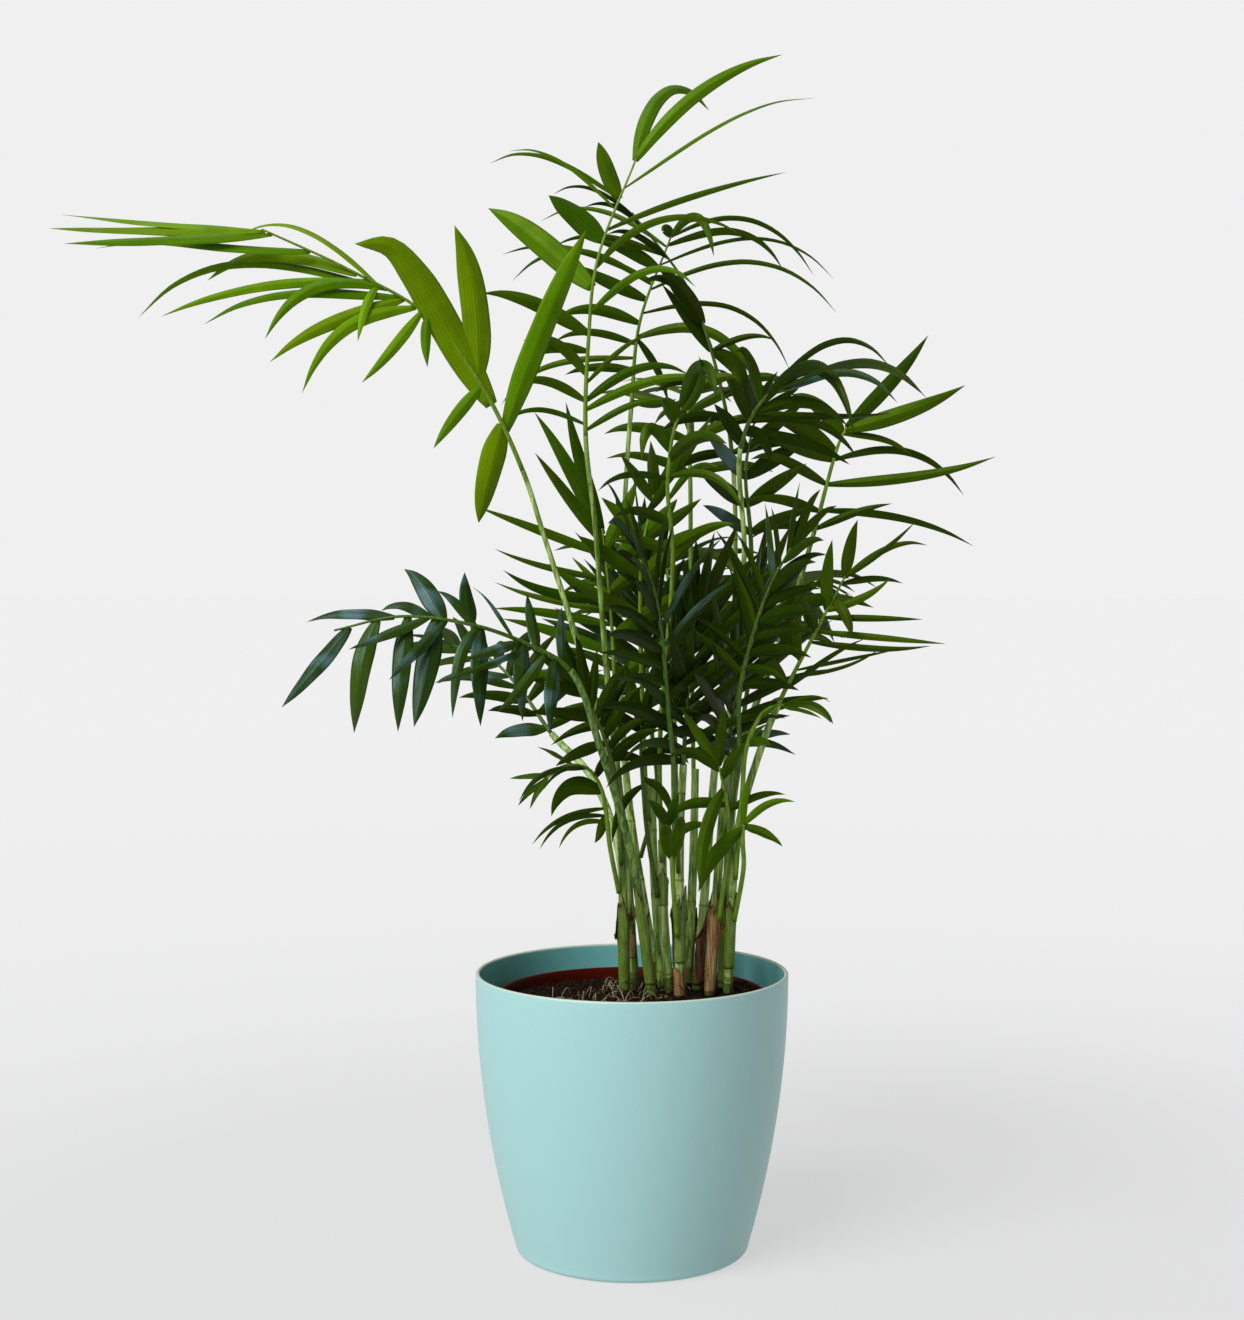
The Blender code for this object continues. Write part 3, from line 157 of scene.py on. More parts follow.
# Fine pots and soil
POT_SIDES = 160
POT_LEVELS = [0.008 + 0.178 * k / 28 for k in range(29)]
NURSERY_SIDES = 128
NURSERY_LEVELS = (0.04, 0.08, 0.12, 0.15, 0.1715)
NURSERY_INNER_LEVELS = (0.176, 0.16, 0.12, 0.08, 0.04)
NURSERY_LIP = ((0.0006, 0.1722), (0.0008, 0.1790))
NURSERY_LIP_RADIUS = 0.0011
SOIL_RINGS = 60
SOIL_SIDES = 144
SOIL_SEED = 77
CRUMBS = 2600
CRUMB_MARGIN = 0.003
FIBRES = 280
FIBRE_STEPS = 8
FIBRE_MARGIN = 0.008
FIBRE_CLEAR = 0.002

# The studio: the floor's glow at distances from the middle makes up for the light that falls off there
CAMERA_PLACE = (-0.007, -1.452, 0.4735)
CAMERA_PITCH = 2.3
CAMERA_LENS = 56.54
FLOOR_TONE = 0.15
FLOOR_GLOW = ((0.42, 0.575), (0.85, 0.645), (1.57, 0.677), (2.9, 0.693), (5.0, 0.701))
FLOOR_START = 0.05
FLOOR_GROWTH = 1.33
FLOOR_RINGS = 24
FLOOR_SIDES = 96
BACKDROP = 0.871
AMBIENT = 0.30
KEY_STRENGTH = 3.7
KEY_ANGLE = 42
TOP_POWER = 6.0

# Colours, linear: a leaf class has an upper tint, its lighter vein tone, an underside and roughness
LEAF_CLASSES = {
    "young": ((0.086, 0.200, 0.0005), (0.18, 0.33, 0.002), (0.15, 0.28, 0.003), 0.40),
    "fresh": ((0.030, 0.086, 0.0004), (0.072, 0.155, 0.002), (0.066, 0.145, 0.002), 0.38),
    "green": ((0.0175, 0.047, 0.0003), (0.043, 0.092, 0.001), (0.040, 0.088, 0.001), 0.36),
    "deep": ((0.0072, 0.021, 0.0002), (0.021, 0.050, 0.001), (0.023, 0.054, 0.001), 0.34),
    "waxy": ((0.0140, 0.036, 0.0003), (0.036, 0.076, 0.001), (0.032, 0.070, 0.001), 0.25),
}
LEAF_TINTS = ((1.0, 1.0, 1.0), (1.4, 1.3, 1.0), (0.62, 0.70, 0.8), (0.95, 0.82, 0.7))

# Specular level, its tint and the colour of a painted sheen (pale bluish patches that stand in for
# highlights), where a class has its own
SHINE = {"waxy": (0.22, (0.60, 0.90, 1.0), (0.12, 0.23, 0.27))}
FROND_CLASS = {
    "frond_top": "fresh", "frond_long_left": "young", "frond_foot_right": "fresh",
    "frond_foot_front": "fresh", "frond_foot_middle": "green", "frond_heart_left": "fresh",
    "frond_upper_right": "green", "frond_mid_right": "green", "frond_centre_slim": "green",
    "frond_centre_front": "green", "frond_low_right": "green", "frond_low_left": "green",
    "frond_rear_high": "green", "frond_crest_back": "green", "frond_arching_left": "waxy",
}
FROND_SLOTS = {YOUNG_GREEN: "young_leaf", LEAF_GREEN: "green_leaf", DARK_GREEN: "dark_leaf"}
THICKENED = ("frond_heart_front", "frond_heart_right", "frond_heart_back", "frond_front",
             "frond_front_right", "frond_rear", "frond_rear_right", "frond_rear_left",
             "frond_foot_left", "frond_foot_centre")

# Stem skins: colour, pale bloom, flecks and roughness; canes take the first four in turn
CANE_SKINS = (
    ((0.086, 0.172, 0.009), (0.40, 0.54, 0.160), (0.05, 0.060, 0.006), 0.40),
    ((0.056, 0.122, 0.005), (0.30, 0.44, 0.100), (0.04, 0.050, 0.005), 0.40),
    ((0.120, 0.205, 0.024), (0.46, 0.57, 0.230), (0.06, 0.060, 0.008), 0.40),
    ((0.034, 0.080, 0.004), (0.18, 0.30, 0.060), (0.03, 0.035, 0.004), 0.40),
)
STEM_SKINS = {
    "stalk_skin": ((0.085, 0.170, 0.003), (0.15, 0.26, 0.012), (0.04, 0.06, 0.004), 0.42),
    "dark_stalk": ((0.035, 0.080, 0.002), (0.07, 0.130, 0.007), (0.02, 0.03, 0.003), 0.42),
    "cane_ring": ((0.11, 0.15, 0.014), (0.19, 0.23, 0.04), (0.04, 0.03, 0.004), 0.6),
    "cane_foot": ((0.060, 0.085, 0.008), (0.13, 0.16, 0.03), (0.03, 0.018, 0.004), 0.6),
    "sheath_green": ((0.085, 0.150, 0.014), (0.15, 0.22, 0.04), (0.07, 0.05, 0.008), 0.5),
    "sheath_tan": ((0.14, 0.065, 0.018), (0.36, 0.24, 0.10), (0.055, 0.018, 0.005), 0.7),
    "sheath_brown": ((0.055, 0.018, 0.005), (0.17, 0.085, 0.028), (0.016, 0.006, 0.002), 0.6),
    "sheath_margin": ((0.042, 0.013, 0.004), (0.12, 0.045, 0.012), (0.015, 0.005, 0.002), 0.7),
}

# Grain skins: colour, light grains, roughness, scale, strength and depth of the relief, specular level
GRAIN_SKINS = {
    "pot_outside": ((0.288, 0.505, 0.500), (0.302, 0.525, 0.520), 0.40, 900.0, 0.03, 0.0001, 0.5),
    # The lip's paler beige tone is a painted highlight along the rim's top edge
    "pot_lip_highlight": ((0.42, 0.50, 0.41), (0.47, 0.54, 0.45), 0.45, 900.0, 0.05, 0.0001, 0.5),
    "pot_inside": ((0.16, 0.47, 0.46), (0.18, 0.50, 0.49), 0.16, 700.0, 0.02, 0.0001, 0.5),
    "nursery_plastic": ((0.055, 0.003, 0.0008), (0.085, 0.007, 0.002), 0.42, 600.0, 0.10, 0.0002, 0.12),
    "soil_dark": ((0.0045, 0.0018, 0.0006), (0.016, 0.008, 0.003), 0.95, 500.0, 0.8, 0.0012, 0.1),
    "soil_crumb": ((0.012, 0.005, 0.002), (0.034, 0.018, 0.008), 0.95, 700.0, 0.6, 0.0006, 0.1),
    "root_pale": ((0.26, 0.21, 0.12), (0.42, 0.36, 0.25), 0.8, 900.0, 0.3, 0.0002, 0.2),
}


def row(at, lengths, angles, width=11, lift=0.22, droop=0.15, curl=0.0):
    """Leaflets along one side of a rib: from and to, lengths in mm, angles to the rib in degrees."""
    return dict(at=at, lengths=lengths, angles=angles, width=width, lift=lift, droop=droop, curl=curl)


def frond_of(stem, rib, extra, right=(), left=None, **more):
    """A frond's measures; points are given in mm, and a left side not given is like the right one."""
    stem, rib = [tuple(tuple(value / 1000 for value in point) for point in line) for line in (stem, rib)]
    return dict(stem=stem, rib=rib, right=right, left=right if left is None else left, extra=extra, **more)


# A frond stands on its own cane, or on the side of one at a height. Its rib runs from the neck to
# the last leaflets, and its face is the direction that its upper side looks, from neck to tip.
# An extra leaflet is its share of the rib, angle, length, width, lift, droop and curl; what it
# leaves out at its end is 0.
FRONDS = {}
FRONDS["frond_top"] = frond_of(
    cane="cane_02", colour=LEAF_GREEN, seed=11,
    stem=((2, 4, 182), (-4, 2, 274), (-17, -10, 402), (-26, -20, 513)),
    rib=((-32, -20, 570), (-30, -20, 636), (-24, -15, 691), (3, 0, 764)),
    face=((0, -1, 0), (0, -1, 0.1)),
    extra=((0.99, -12, 116, 11, 0, 0.45, 0.2), (0.99, 12, 131, 10, 0, 0.12, 0.3),
           (0.88, 36, 144, 3, 0, 0.22, -0.1), (0.72, 39, 141, 5, 0, 0, 0.2),
           (0.58, 23, 121, 6, 0, 0.5, 0.5), (0.42, 45, 84, 6, 0, 0.5), (0.18, 40, 62, 4, 0, 0.2),
           (0.12, 48, 81, 7, 0, 0.4, 0.1), (0.09, 62, 97, 7, -0.1, 0.3, 0.2), (0.02, 58, 70, 5, 0, 0.3),
           (0.84, -49, 42, 12, 0.2, -0.1, 0.1), (0.84, -78, 98, 4, 0, 0.3, 0.1),
           (0.80, -69, 84, 3, 0, 0.3), (0.68, -65, 50, 17, 0.3, 0.1), (0.51, -52, 98, 18, 0, 0.1),
           (0.35, -64, 77, 11, 0, 0.2), (0.29, -83, 55, 8, 0, 0.5), (0.21, -38, 53, 8, 0.2, 0.4, -0.2),
           (0.12, -59, 55, 7, 0, 0.4), (0.04, -65, 66, 4, 0, 0.5)))
FRONDS["frond_crest_back"] = frond_of(
    cane="cane_05", colour=DARK_GREEN, seed=12,
    stem=((18, 40, 182), (-2, 55, 310), (-9, 70, 420), (-4, 80, 545)),
    rib=((0, 80, 600), (6, 80, 660), (29, 70, 722)),
    face=((0, -1, 0.1), (0, -1, 0.1)),
    extra=((0.99, 40, 122, 4, 0, 0.9, 0.3), (0.99, 18, 60, 7, 0.1, 1.3), (0.94, 49, 96, 6, 0, 0.6, -0.1),
           (0.82, 45, 138, 3, 0, 0.5), (0.67, 43, 152, 4, 0, 0.6, 0.1), (0.53, 60, 130, 4, 0, 0.7, -0.1),
           (0.39, 65, 114, 8, 0.1, 1, 0.1), (0.38, 132, 53, 6, 0.1, 0.4, -0.1),
           (0.02, 101, 34, 6, 0.2, -0.2), (0.99, -44, 12, 8, 0, 0.6), (0.93, -77, 104, 4, 0, 0.4, -0.1),
           (0.88, -90, 83, 5, 0, 0.3), (0.80, -79, 54, 10, 0.2, 0.2, -0.1),
           (0.72, -86, 120, 5, -0.1, 0.3, -0.1), (0.70, -79, 116, 5, -0.1, 0.6, -0.1),
           (0.61, -82, 64, 10, 0.2), (0.47, -79, 66, 9, 0.2, 0.4, -0.1), (0.35, -81, 62, 6, 0, 0.3),
           (0.27, -92, 115, 5, -0.1, 0.2, 0.3), (0.20, -86, 52, 7, 0.1, 0.2)))
FRONDS["frond_crest_bent"] = frond_of(
    cane="cane_11", colour=DARK_GREEN, seed=22,
    stem=((55, 36, 182), (67, 40, 312), (75, 50, 486)),
    rib=((73, 50, 555), (65, 40, 604), (41, 30, 676), (0, 10, 728)),
    face=((0, -1, 0.1), (0, -1, 0.1)),
    right=[row((0.04, 0.26), (60, 66, 56), (80, 74, 70), 8, droop=(0.2, 0.4, 0.5))],
    left=[row((0.04, 0.30), (58, 56, 52), (80, 74, 66), (7, 8, 8), droop=(0.4, 0.3, 0.3))],
    extra=((0.42, 80, 47, 5, 0, 0.3), (0.42, 124, 50, 12, 0.1, -0.2, -0.8),
           (0.42, -14, 60, 10, 0.2, 0, -0.1), (0.52, -11, 55, 13, 0.2, 0.1, -0.1),
           (0.62, -26, 43, 7, 0.1, 0.3, -0.1), (0.79, -13, 57, 5, 0, 0.3), (0.93, -5, 49, 4, 0, 0.3, -0.2),
           (0.98, -10, 62, 3, 0, 0.4)))
FRONDS["frond_long_left"] = frond_of(
    cane="cane_01", colour=YOUNG_GREEN, seed=13,
    stem=((-5, -12, 182), (-11, -30, 327), (-36, -40, 424), (-60, -50, 502)),
    rib=((-74, -50, 545), (-99, -60, 598), (-134, -70, 645), (-186, -80, 675), (-242, -90, 700)),
    face=((0.3, -1, 0), (0, -1, 0.6), (0, -0.6, 1)),
    extra=((0.99, -7, 130, 9, -0.34), (0.99, -14, 136, 8, -0.36), (0.97, -26, 132, 8, -0.3),
           (0.86, -25, 142, 8, -0.2, 0.2, 0.4), (0.72, 2, 105, 9, -0.2, 0.4),
           (0.66, 25, 117, 4, -0.1, 0.4), (0.68, -28, 144, 6, -0.1, 0.1, -0.2),
           (0.63, -10, 177, 5, -0.2, 0.5, 0.2), (0.64, -26, 100, 7, 0.1, 0.7, -0.1),
           (0.59, -33, 134, 6, 0, 0.3, 0.2), (0.58, -54, 107, 8, 0, 0.2, 0.1),
           (0.54, -51, 109, 7, 0.1, 0.7, 0.1), (0.52, -88, 80, 6, 0.2, -0.1, -0.3),
           (0.50, -116, 37, 6, 0.1, 0.2, 0.2), (0.66, -87, 50, 5, 0.1, 0.5, 0.1),
           (0.20, -4, 148, 18, 0, 0.4, 0.2), (0.28, 37, 104, 16, 0, 0.1, -0.2),
           (0.12, 45, 147, 13, 0, 0, 0.1), (0.26, -106, 54, 7, 0, 0.1), (0.14, -140, 68, 14)))
FRONDS["frond_arching_left"] = frond_of(
    cane="cane_04", colour=DARK_GREEN, seed=14,
    stem=((14, -18, 182), (0, -35, 280), (-22, -70, 361)),
    rib=((-41, -90, 412), (-70, -100, 430), (-105, -120, 443), (-150, -120, 448), (-192, -120, 439)),
    face=((0, -0.7, 1), (0, -1, 0.6), (0, -1, 0.7)),
    extra=((0.94, -43, 69, 12), (0.83, -59, 76, 14, 0, 2.4), (0.71, -87, 77, 13, 0, 1.4),
           (0.60, -90, 79, 16), (0.43, -56, 66, 8, 0, 2.4), (0.42, -90, 68, 13, 0, 0.7),
           (0.22, -88, 56, 14, 0, 1.3), (0.12, -76, 79, 8, 0, -0.1), (0.07, -96, 56, 12, 0, 0.5),
           (0.63, -40, 58, 8, 0.2), (0.56, -64, 63, 8, 0.2), (0.24, -44, 77, 8, 0.2), (0.18, -47, 86, 5),
           (0.76, 15, 58, 9, 0.1, 0.2), (0.62, 22, 35, 8, 0.2, 0.4), (0.57, 53, 47, 14, 0.1, 0.2),
           (0.46, 75, 36, 12, 0.1, -0.2), (0.44, 42, 34, 8, 0.1, 0.2), (0.27, 49, 44, 5, 0.1, 0.2),
           (0.16, 72, 46, 10, 0.1, 0.1), (0.04, 66, 46, 9, 0.1, 0.1)))
FRONDS["frond_upper_right"] = frond_of(
    cane="cane_12", colour=LEAF_GREEN, seed=15,
    stem=((64, 10, 182), (76, 10, 344), (110, 20, 440)),
    rib=((130, 30, 505), (147, 30, 567), (153, 30, 580)),
    face=((0, -1, 0), (0, -1, 0.3)),
    extra=((0.99, 21, 83, 11, 0.1, -0.1), (0.97, 52, 87, 12, 0, -0.1), (0.93, 67, 54, 5, 0, 0.3),
           (0.68, 56, 106, 6, 0, 0.6, 0.1), (0.45, 72, 119, 8, 0, -0.1), (0.21, 76, 117, 6, 0, 0.2, 0.1),
           (0.03, 51, 56, 6, 0, 0.1), (0.93, -63, 49, 12, 0.2, 0.3, -0.1),
           (0.75, -71, 62, 13, 0.2, 0.2, 0.1), (0.68, -88, 67, 11, 0.1), (0.45, -75, 66, 8, 0.1, 0.2, 0.2),
           (0.20, -87, 58, 8, 0.1, 0.2), (0.03, -92, 50, 7, 0.1, 0.4)))
FRONDS["frond_arching_right"] = frond_of(
    cane="cane_09", colour=DARK_GREEN, seed=16,
    stem=((46, 2, 182), (62, -20, 388), (76, -40, 485)),
    rib=((73, -50, 560), (88, -70, 592), (115, -90, 605)),
    face=((0.3, -1, 0.2), (0, -0.7, 1)),
    left=[row((0.05, 0.45), (38, 50, 50), (40, 50, 60), 8, lift=0, droop=(0.2, 0.3, 0.4))],
    extra=((0.87, 17, 113, 8, 0.1, 0.4, -0.1), (0.67, 34, 150, 5, 0.2, 0.5, -0.5),
           (0.62, 28, 115, 7, 0.1, 0.5, -0.4), (0.52, -2, 122, 5, 0, 0.5, 0.1), (0.46, 6, 118, 10, 0.1, 1),
           (0.34, 62, 93, 6, 0.1, -0.1, 0.1), (0.32, 33, 75, 9, 0.1, 0.5, 0.2),
           (0.26, 53, 83, 7, 0.1, 0.5), (0.20, 94, 30, 8, 0.1, 0.9, -0.3), (0.14, 83, 75, 9, 0.1, 0.2)))
FRONDS["frond_rear_left"] = frond_of(
    cane="cane_03", colour=DARK_GREEN, seed=17,
    stem=((0, 26, 182), (-11, 55, 281), (-31, 90, 326)),
    rib=((-60, 110, 355), (-85, 130, 388), (-109, 150, 410), (-140, 170, 420)),
    face=((0, -0.6, 1), (0, -0.4, 1)),
    right=[row((0.05, 0.95), (75, 80, 75, 65, 55), (75, 65, 55, 45, 40), 11, lift=0.1, droop=0.2)],
    left=[row((0.05, 0.95), (44, 54, 60, 60, 52), (60, 58, 52, 45, 40), 11, lift=0, droop=0.2)],
    extra=((0.99, 10, 55, 10, 0, 0.15), (0.99, -12, 55, 10, 0, 0.3)))
FRONDS["frond_mid_right"] = frond_of(
    cane="cane_13", colour=LEAF_GREEN, seed=18,
    stem=((67, -8, 182), (73, -30, 299), (88, -30, 354)),
    rib=((100, -30, 385), (125, -30, 434), (146, -30, 474)),
    face=((0, -1, 0.1), (0, -1, 0.3)),
    extra=((0.99, 24, 63, 5, 0.1, 0.3), (0.98, 29, 61, 4, 0, -0.1), (0.99, -18, 41, 9, 0.2, 0.2),
           (0.94, 49, 43, 5, 0, 0.2), (0.83, 114, 29, 8, 0.1, 0.4, -0.1), (0.73, 45, 49, 6, 0.1, -0.2),
           (0.68, 64, 67, 5), (0.57, 68, 88, 5), (0.49, 70, 82, 5, 0.1, -0.1), (0.27, 51, 73, 3),
           (0.22, 55, 64, 3, 0.1, -0.2), (0.12, 25, 65, 4, 0.1, 0.1), (0.82, -117, 34, 10, 0.2, 0.6, 0.1),
           (0.73, -30, 49, 9, 0, 0.1, 0.1), (0.57, -47, 29, 9, 0.2, 0.3, 0.1),
           (0.36, -61, 37, 10, 0.3, 0.2, 0.1), (0.34, -41, 69, 8, 0.2, 0.2, 0.3),
           (0.15, -60, 50, 9, 0.2, 0.2)))
FRONDS["frond_heart_front"] = frond_of(
    cane="cane_07", colour=DARK_GREEN, seed=31,
    stem=((33, -22, 182), (33, -30, 300)),
    rib=((35, -36, 345), (38, -45, 395), (45, -50, 445)),
    face=((0.4, -1, 0), (0.4, -1, 0.1)),
    right=[row((0.05, 0.95), (80, 92, 98, 94, 84, 72), (66, 50, 38, 30, 24, 18), (9, 10, 10, 10, 9, 8),
               droop=(0.3, 0.1, 0.05, 0.05, 0.05, 0.05))],
    left=[row((0.02, 0.88), (74, 88, 96, 90, 84, 74), (72, 54, 40, 28, 22, 16), (9, 10, 10, 10, 9, 8),
              droop=(0.4, 0.2, 0.05, 0.05, 0.05, 0.05))],
    extra=((0.99, 8, 70, 9), (0.99, -10, 64, 9)))
FRONDS["frond_heart_right"] = frond_of(
    cane="cane_10", colour=DARK_GREEN, seed=32,
    stem=((54, -16, 182), (62, -20, 300)),
    rib=((66, -22, 350), (74, -15, 405), (86, -10, 450)),
    face=((0.7, -1, 0), (0.7, -1, 0.1)),
    right=[row((0.05, 0.95), (50, 72, 88, 88, 80, 68), (66, 52, 40, 32, 26, 20), (8, 9, 10, 10, 9, 8),
               droop=(0.2, 0.1, 0.05, 0.05, 0.05, 0.05))],
    left=[row((0.02, 0.90), (74, 86, 94, 88, 80, 66), (76, 56, 40, 30, 26, 20), (9, 10, 10, 10, 9, 8),
              droop=(0.4, 0.1, 0.05, 0.05, 0.05, 0.05))],
    extra=((0.99, 8, 66, 9), (0.99, -10, 62, 9)))
FRONDS["frond_heart_back"] = frond_of(
    cane="cane_05", height=0.27, colour=DARK_GREEN, seed=33,
    stem=((18, 32, 320),),
    rib=((14, 30, 366), (9, 30, 430), (4, 30, 470)),
    face=((-0.6, -1, 0), (-0.6, -1, 0.1)),
    right=[row((0.05, 0.95), (80, 90, 94, 88, 80, 68), (70, 56, 44, 36, 30, 24), (9, 10, 11, 10, 10, 9),
               droop=(0.3, 0.1, 0.05, 0.05, 0.05, 0.05))],
    left=[row((0.02, 0.90), (82, 90, 92, 86, 78, 66), (78, 64, 50, 40, 32, 26), (9, 10, 11, 10, 10, 9),
              droop=(0.3, 0.1, 0.05, 0.05, 0.05, 0.05))],
    extra=((0.99, 14, 62, 10), (0.99, -8, 64, 10)))
FRONDS["frond_heart_left"] = frond_of(
    cane="cane_02", height=0.29, colour=LEAF_GREEN, seed=34,
    stem=((-10, 12, 345),),
    rib=((-12, 14, 394), (-15, 20, 450), (-21, 20, 508)),
    face=((0, -1, 0), (0, -1, 0.1)),
    right=[row((0.05, 0.60), (70, 75, 72), (65, 58, 50), (11, 12, 11), droop=0.05)],
    left=[row((0.05, 0.40), (74, 80, 80), (75, 74, 72), (10, 9, 8), droop=0.05)],
    extra=((0.99, -13, 91, 10, 0.2, -0.2), (0.96, -20, 99, 11, 0, 0.1), (0.90, -31, 80, 9, 0.1),
           (0.86, 33, 55, 11, 0, -0.1), (0.74, 55, 83, 14, 0.1, -0.1), (0.83, -63, 97, 7),
           (0.68, -74, 83, 5, 0, -0.1), (0.58, -39, 39, 5, 0.2), (0.56, -60, 51, 7, 0.2, -0.1),
           (0.55, -81, 77, 8, 0, -0.2), (0.49, -77, 87, 5, 0.1, -0.1)))
FRONDS["frond_centre_slim"] = frond_of(
    cane="cane_06", height=0.3, colour=LEAF_GREEN, seed=35,
    stem=((8, 10, 370),),
    rib=((6, 0, 440), (7, -10, 490), (15, -20, 530)),
    face=((-0.3, -1, 0), (-0.3, -1, 0.1)),
    right=[row((0.05, 0.95), (60, 58, 50, 60), (60, 55, 40, 25), (11, 12, 10, 9),
               droop=(0.05, 0.1, 0, 0))],
    left=[row((0.05, 0.95), (55, 50, 40, 40), (60, 55, 50, 40), (11, 12, 11, 9), droop=0.05)],
    extra=((0.99, 22, 68, 9), (0.99, -8, 40, 10)))
FRONDS["frond_centre_front"] = frond_of(
    cane="cane_15", height=0.275, colour=LEAF_GREEN, seed=61,
    stem=((19, -35, 360),),
    rib=((27, -70, 485), (23, -85, 537), (30, -95, 579), (42, -100, 596)),
    face=((0, -1, 0), (0, -1, 0.3)),
    extra=((0.99, 20, 30, 8, 0, 0.3), (0.85, -7, 67, 12, 0.1, 0.8), (0.83, 28, 51, 6, 0.2, 0.2, -0.5),
           (0.77, -31, 24, 11, 0.2, 0.3), (0.61, -39, 46, 8, 0.1, 1.2, 0.2),
           (0.56, 29, 49, 10, 0.1, 0.4, 0.2), (0.47, 68, 61, 6, 0, 0.7), (0.46, -75, 51, 5, 0, 0.3, 0.1),
           (0.44, -151, 30, 7, 0.1, -0.2), (0.34, 33, 50, 5, 0, 0.4), (0.20, -50, 44, 8, 0.1, 0.3),
           (0.06, 55, 48, 8, 0.1, 0.2), (0.04, -60, 46, 8, 0.1, 0.2)))
FRONDS["frond_centre_right"] = frond_of(
    cane="cane_11", height=0.31, colour=DARK_GREEN, seed=37,
    stem=((85, 22, 420),),
    rib=((84, 15, 500), (80, 10, 549), (86, 0, 585)),
    face=((0.6, -1, 0), (0.6, -1, 0.1)),
    right=[row((0.05, 0.95), (52, 56, 54, 50, 40), (65, 60, 55, 45, 35), (10, 12, 12, 11, 9), droop=0.05)],
    left=[row((0.05, 0.95), (56, 62, 62, 54, 42), (65, 60, 55, 45, 35), (10, 12, 12, 11, 9), droop=0.05)],
    extra=((0.99, 14, 36, 10, 0, 0.1), (0.99, -14, 36, 10, 0, 0.1)))
FRONDS["frond_low_right"] = frond_of(
    cane="cane_13", height=0.265, colour=LEAF_GREEN, seed=38,
    stem=((75, -42, 325),),
    rib=((78, -50, 360), (90, -60, 384), (102, -66, 388)),
    face=((0, -0.4, 1), (0, -0.4, 1)),
    right=[row((0.05, 0.95), (36, 38, 36), (60, 48, 34), (6, 6, 6), lift=0, droop=0.1)],
    left=[row((0.50, 0.95), (32, 36), (56, 40), (6, 6), lift=0, droop=0.4)],
    extra=((0.99, 10, 40, 7, 0, 0.5), (0.99, -12, 40, 7, 0, 0.8)))
FRONDS["frond_low_left"] = frond_of(
    cane="cane_01", height=0.255, colour=LEAF_GREEN, seed=39,
    stem=((-15.5, -36, 290),),
    rib=((-17, -38, 304), (-21, -38, 328), (-30, -38, 342), (-46, -44, 345), (-58, -50, 337)),
    face=((0, -0.4, 1), (0, -0.4, 1)),
    right=[row((0.45, 0.95), (36, 34, 30), (65, 50, 40), (7, 6, 6), lift=0.2, droop=0.1)],
    left=(),
    extra=((0.99, 10, 28, 6, 0, 0.3), (0.99, -12, 26, 6, 0, 0.5), (0.62, -56, 60, 4, 0.2, 0.3, 0.3),
           (0.58, -36, 66, 6, 0, 0.5, 0.2), (0.31, -54, 49, 13, 0, 1), (0.15, -88, 59, 4, 0, 0.4),
           (0.09, -155, 21, 7, 0, -0.2), (0.08, -79, 57, 4, 0.1, 0.6), (0.02, -75, 42, 4, 0, 0.8)))
FRONDS["frond_foot_right"] = frond_of(
    cane="cane_13", height=0.235, colour=YOUNG_GREEN, seed=40,
    stem=((76.5, -36, 275),),
    rib=((75.5, -42, 292), (76, -48, 305)),
    face=((0, -1, 1), (0, -1, 1)),
    extra=((0.99, 31, 44, 6, 0, 0.3, 0.2), (0.90, 104, 30, 8, 0, 0.2), (0.80, -136, 58, 11, 0.1, 0.2, 0.2),
           (0.99, -8, 42, 5, 0, 0, 0.2)))
FRONDS["frond_foot_front"] = frond_of(
    cane="cane_07", height=0.225, colour=YOUNG_GREEN, seed=41,
    stem=((28, -40, 262),),
    rib=((27, -44, 280), (25, -50, 305)),
    face=((0, -1, 0.2), (0, -1, 0.2)),
    extra=((0.02, -13, 48, 9, 0, 0.3, 0.2), (0.02, 20, 50, 9, 0, 0.3, -0.2), (0.60, 60, 30, 7, 0, 0.4),
           (0.90, -20, 34, 8, 0, 0.2), (0.99, 14, 30, 7, 0, 0.1)))
FRONDS["frond_foot_middle"] = frond_of(
    cane="cane_10", height=0.235, colour=YOUNG_GREEN, seed=42,
    stem=((66, -32, 285),),
    rib=((66, -38, 310), (59, -47, 345)),
    face=((0, -1, 0.2), (0, -1, 0.2)),
    right=[row((0.1, 0.8), (40, 46), (70, 40), (7, 8), lift=0, droop=0.2)],
    left=[row((0.2, 0.9), (46, 46), (70, 40), (8, 8), lift=0, droop=0.4)],
    extra=((0.99, 12, 48, 8), (0.99, -20, 48, 8), (0.54, -130, 61, 10, 0.1, 0.4, 0.2),
           (0.72, 32, 35, 8, 0.1)))
FRONDS["frond_foot_left"] = frond_of(
    cane="cane_01", height=0.275, colour=DARK_GREEN, seed=43,
    stem=((-9, -42, 318),),
    rib=((-13, -50, 345), (-23, -58, 376), (-33, -64, 396)),
    face=((0, -1, 0.2), (0, -1, 0.3)),
    right=[row((0.10, 0.90), (44, 50, 50, 44), (60, 48, 38, 28), (8, 9, 9, 8), lift=0.1, droop=0.2)],
    left=[row((0.30, 0.95), (38, 46, 46), (84, 60, 40), (8, 9, 8), lift=0.1, droop=0.1)],
    extra=((0.99, 10, 50, 9, 0, 0.1), (0.99, -16, 48, 8, 0, 0.1)))
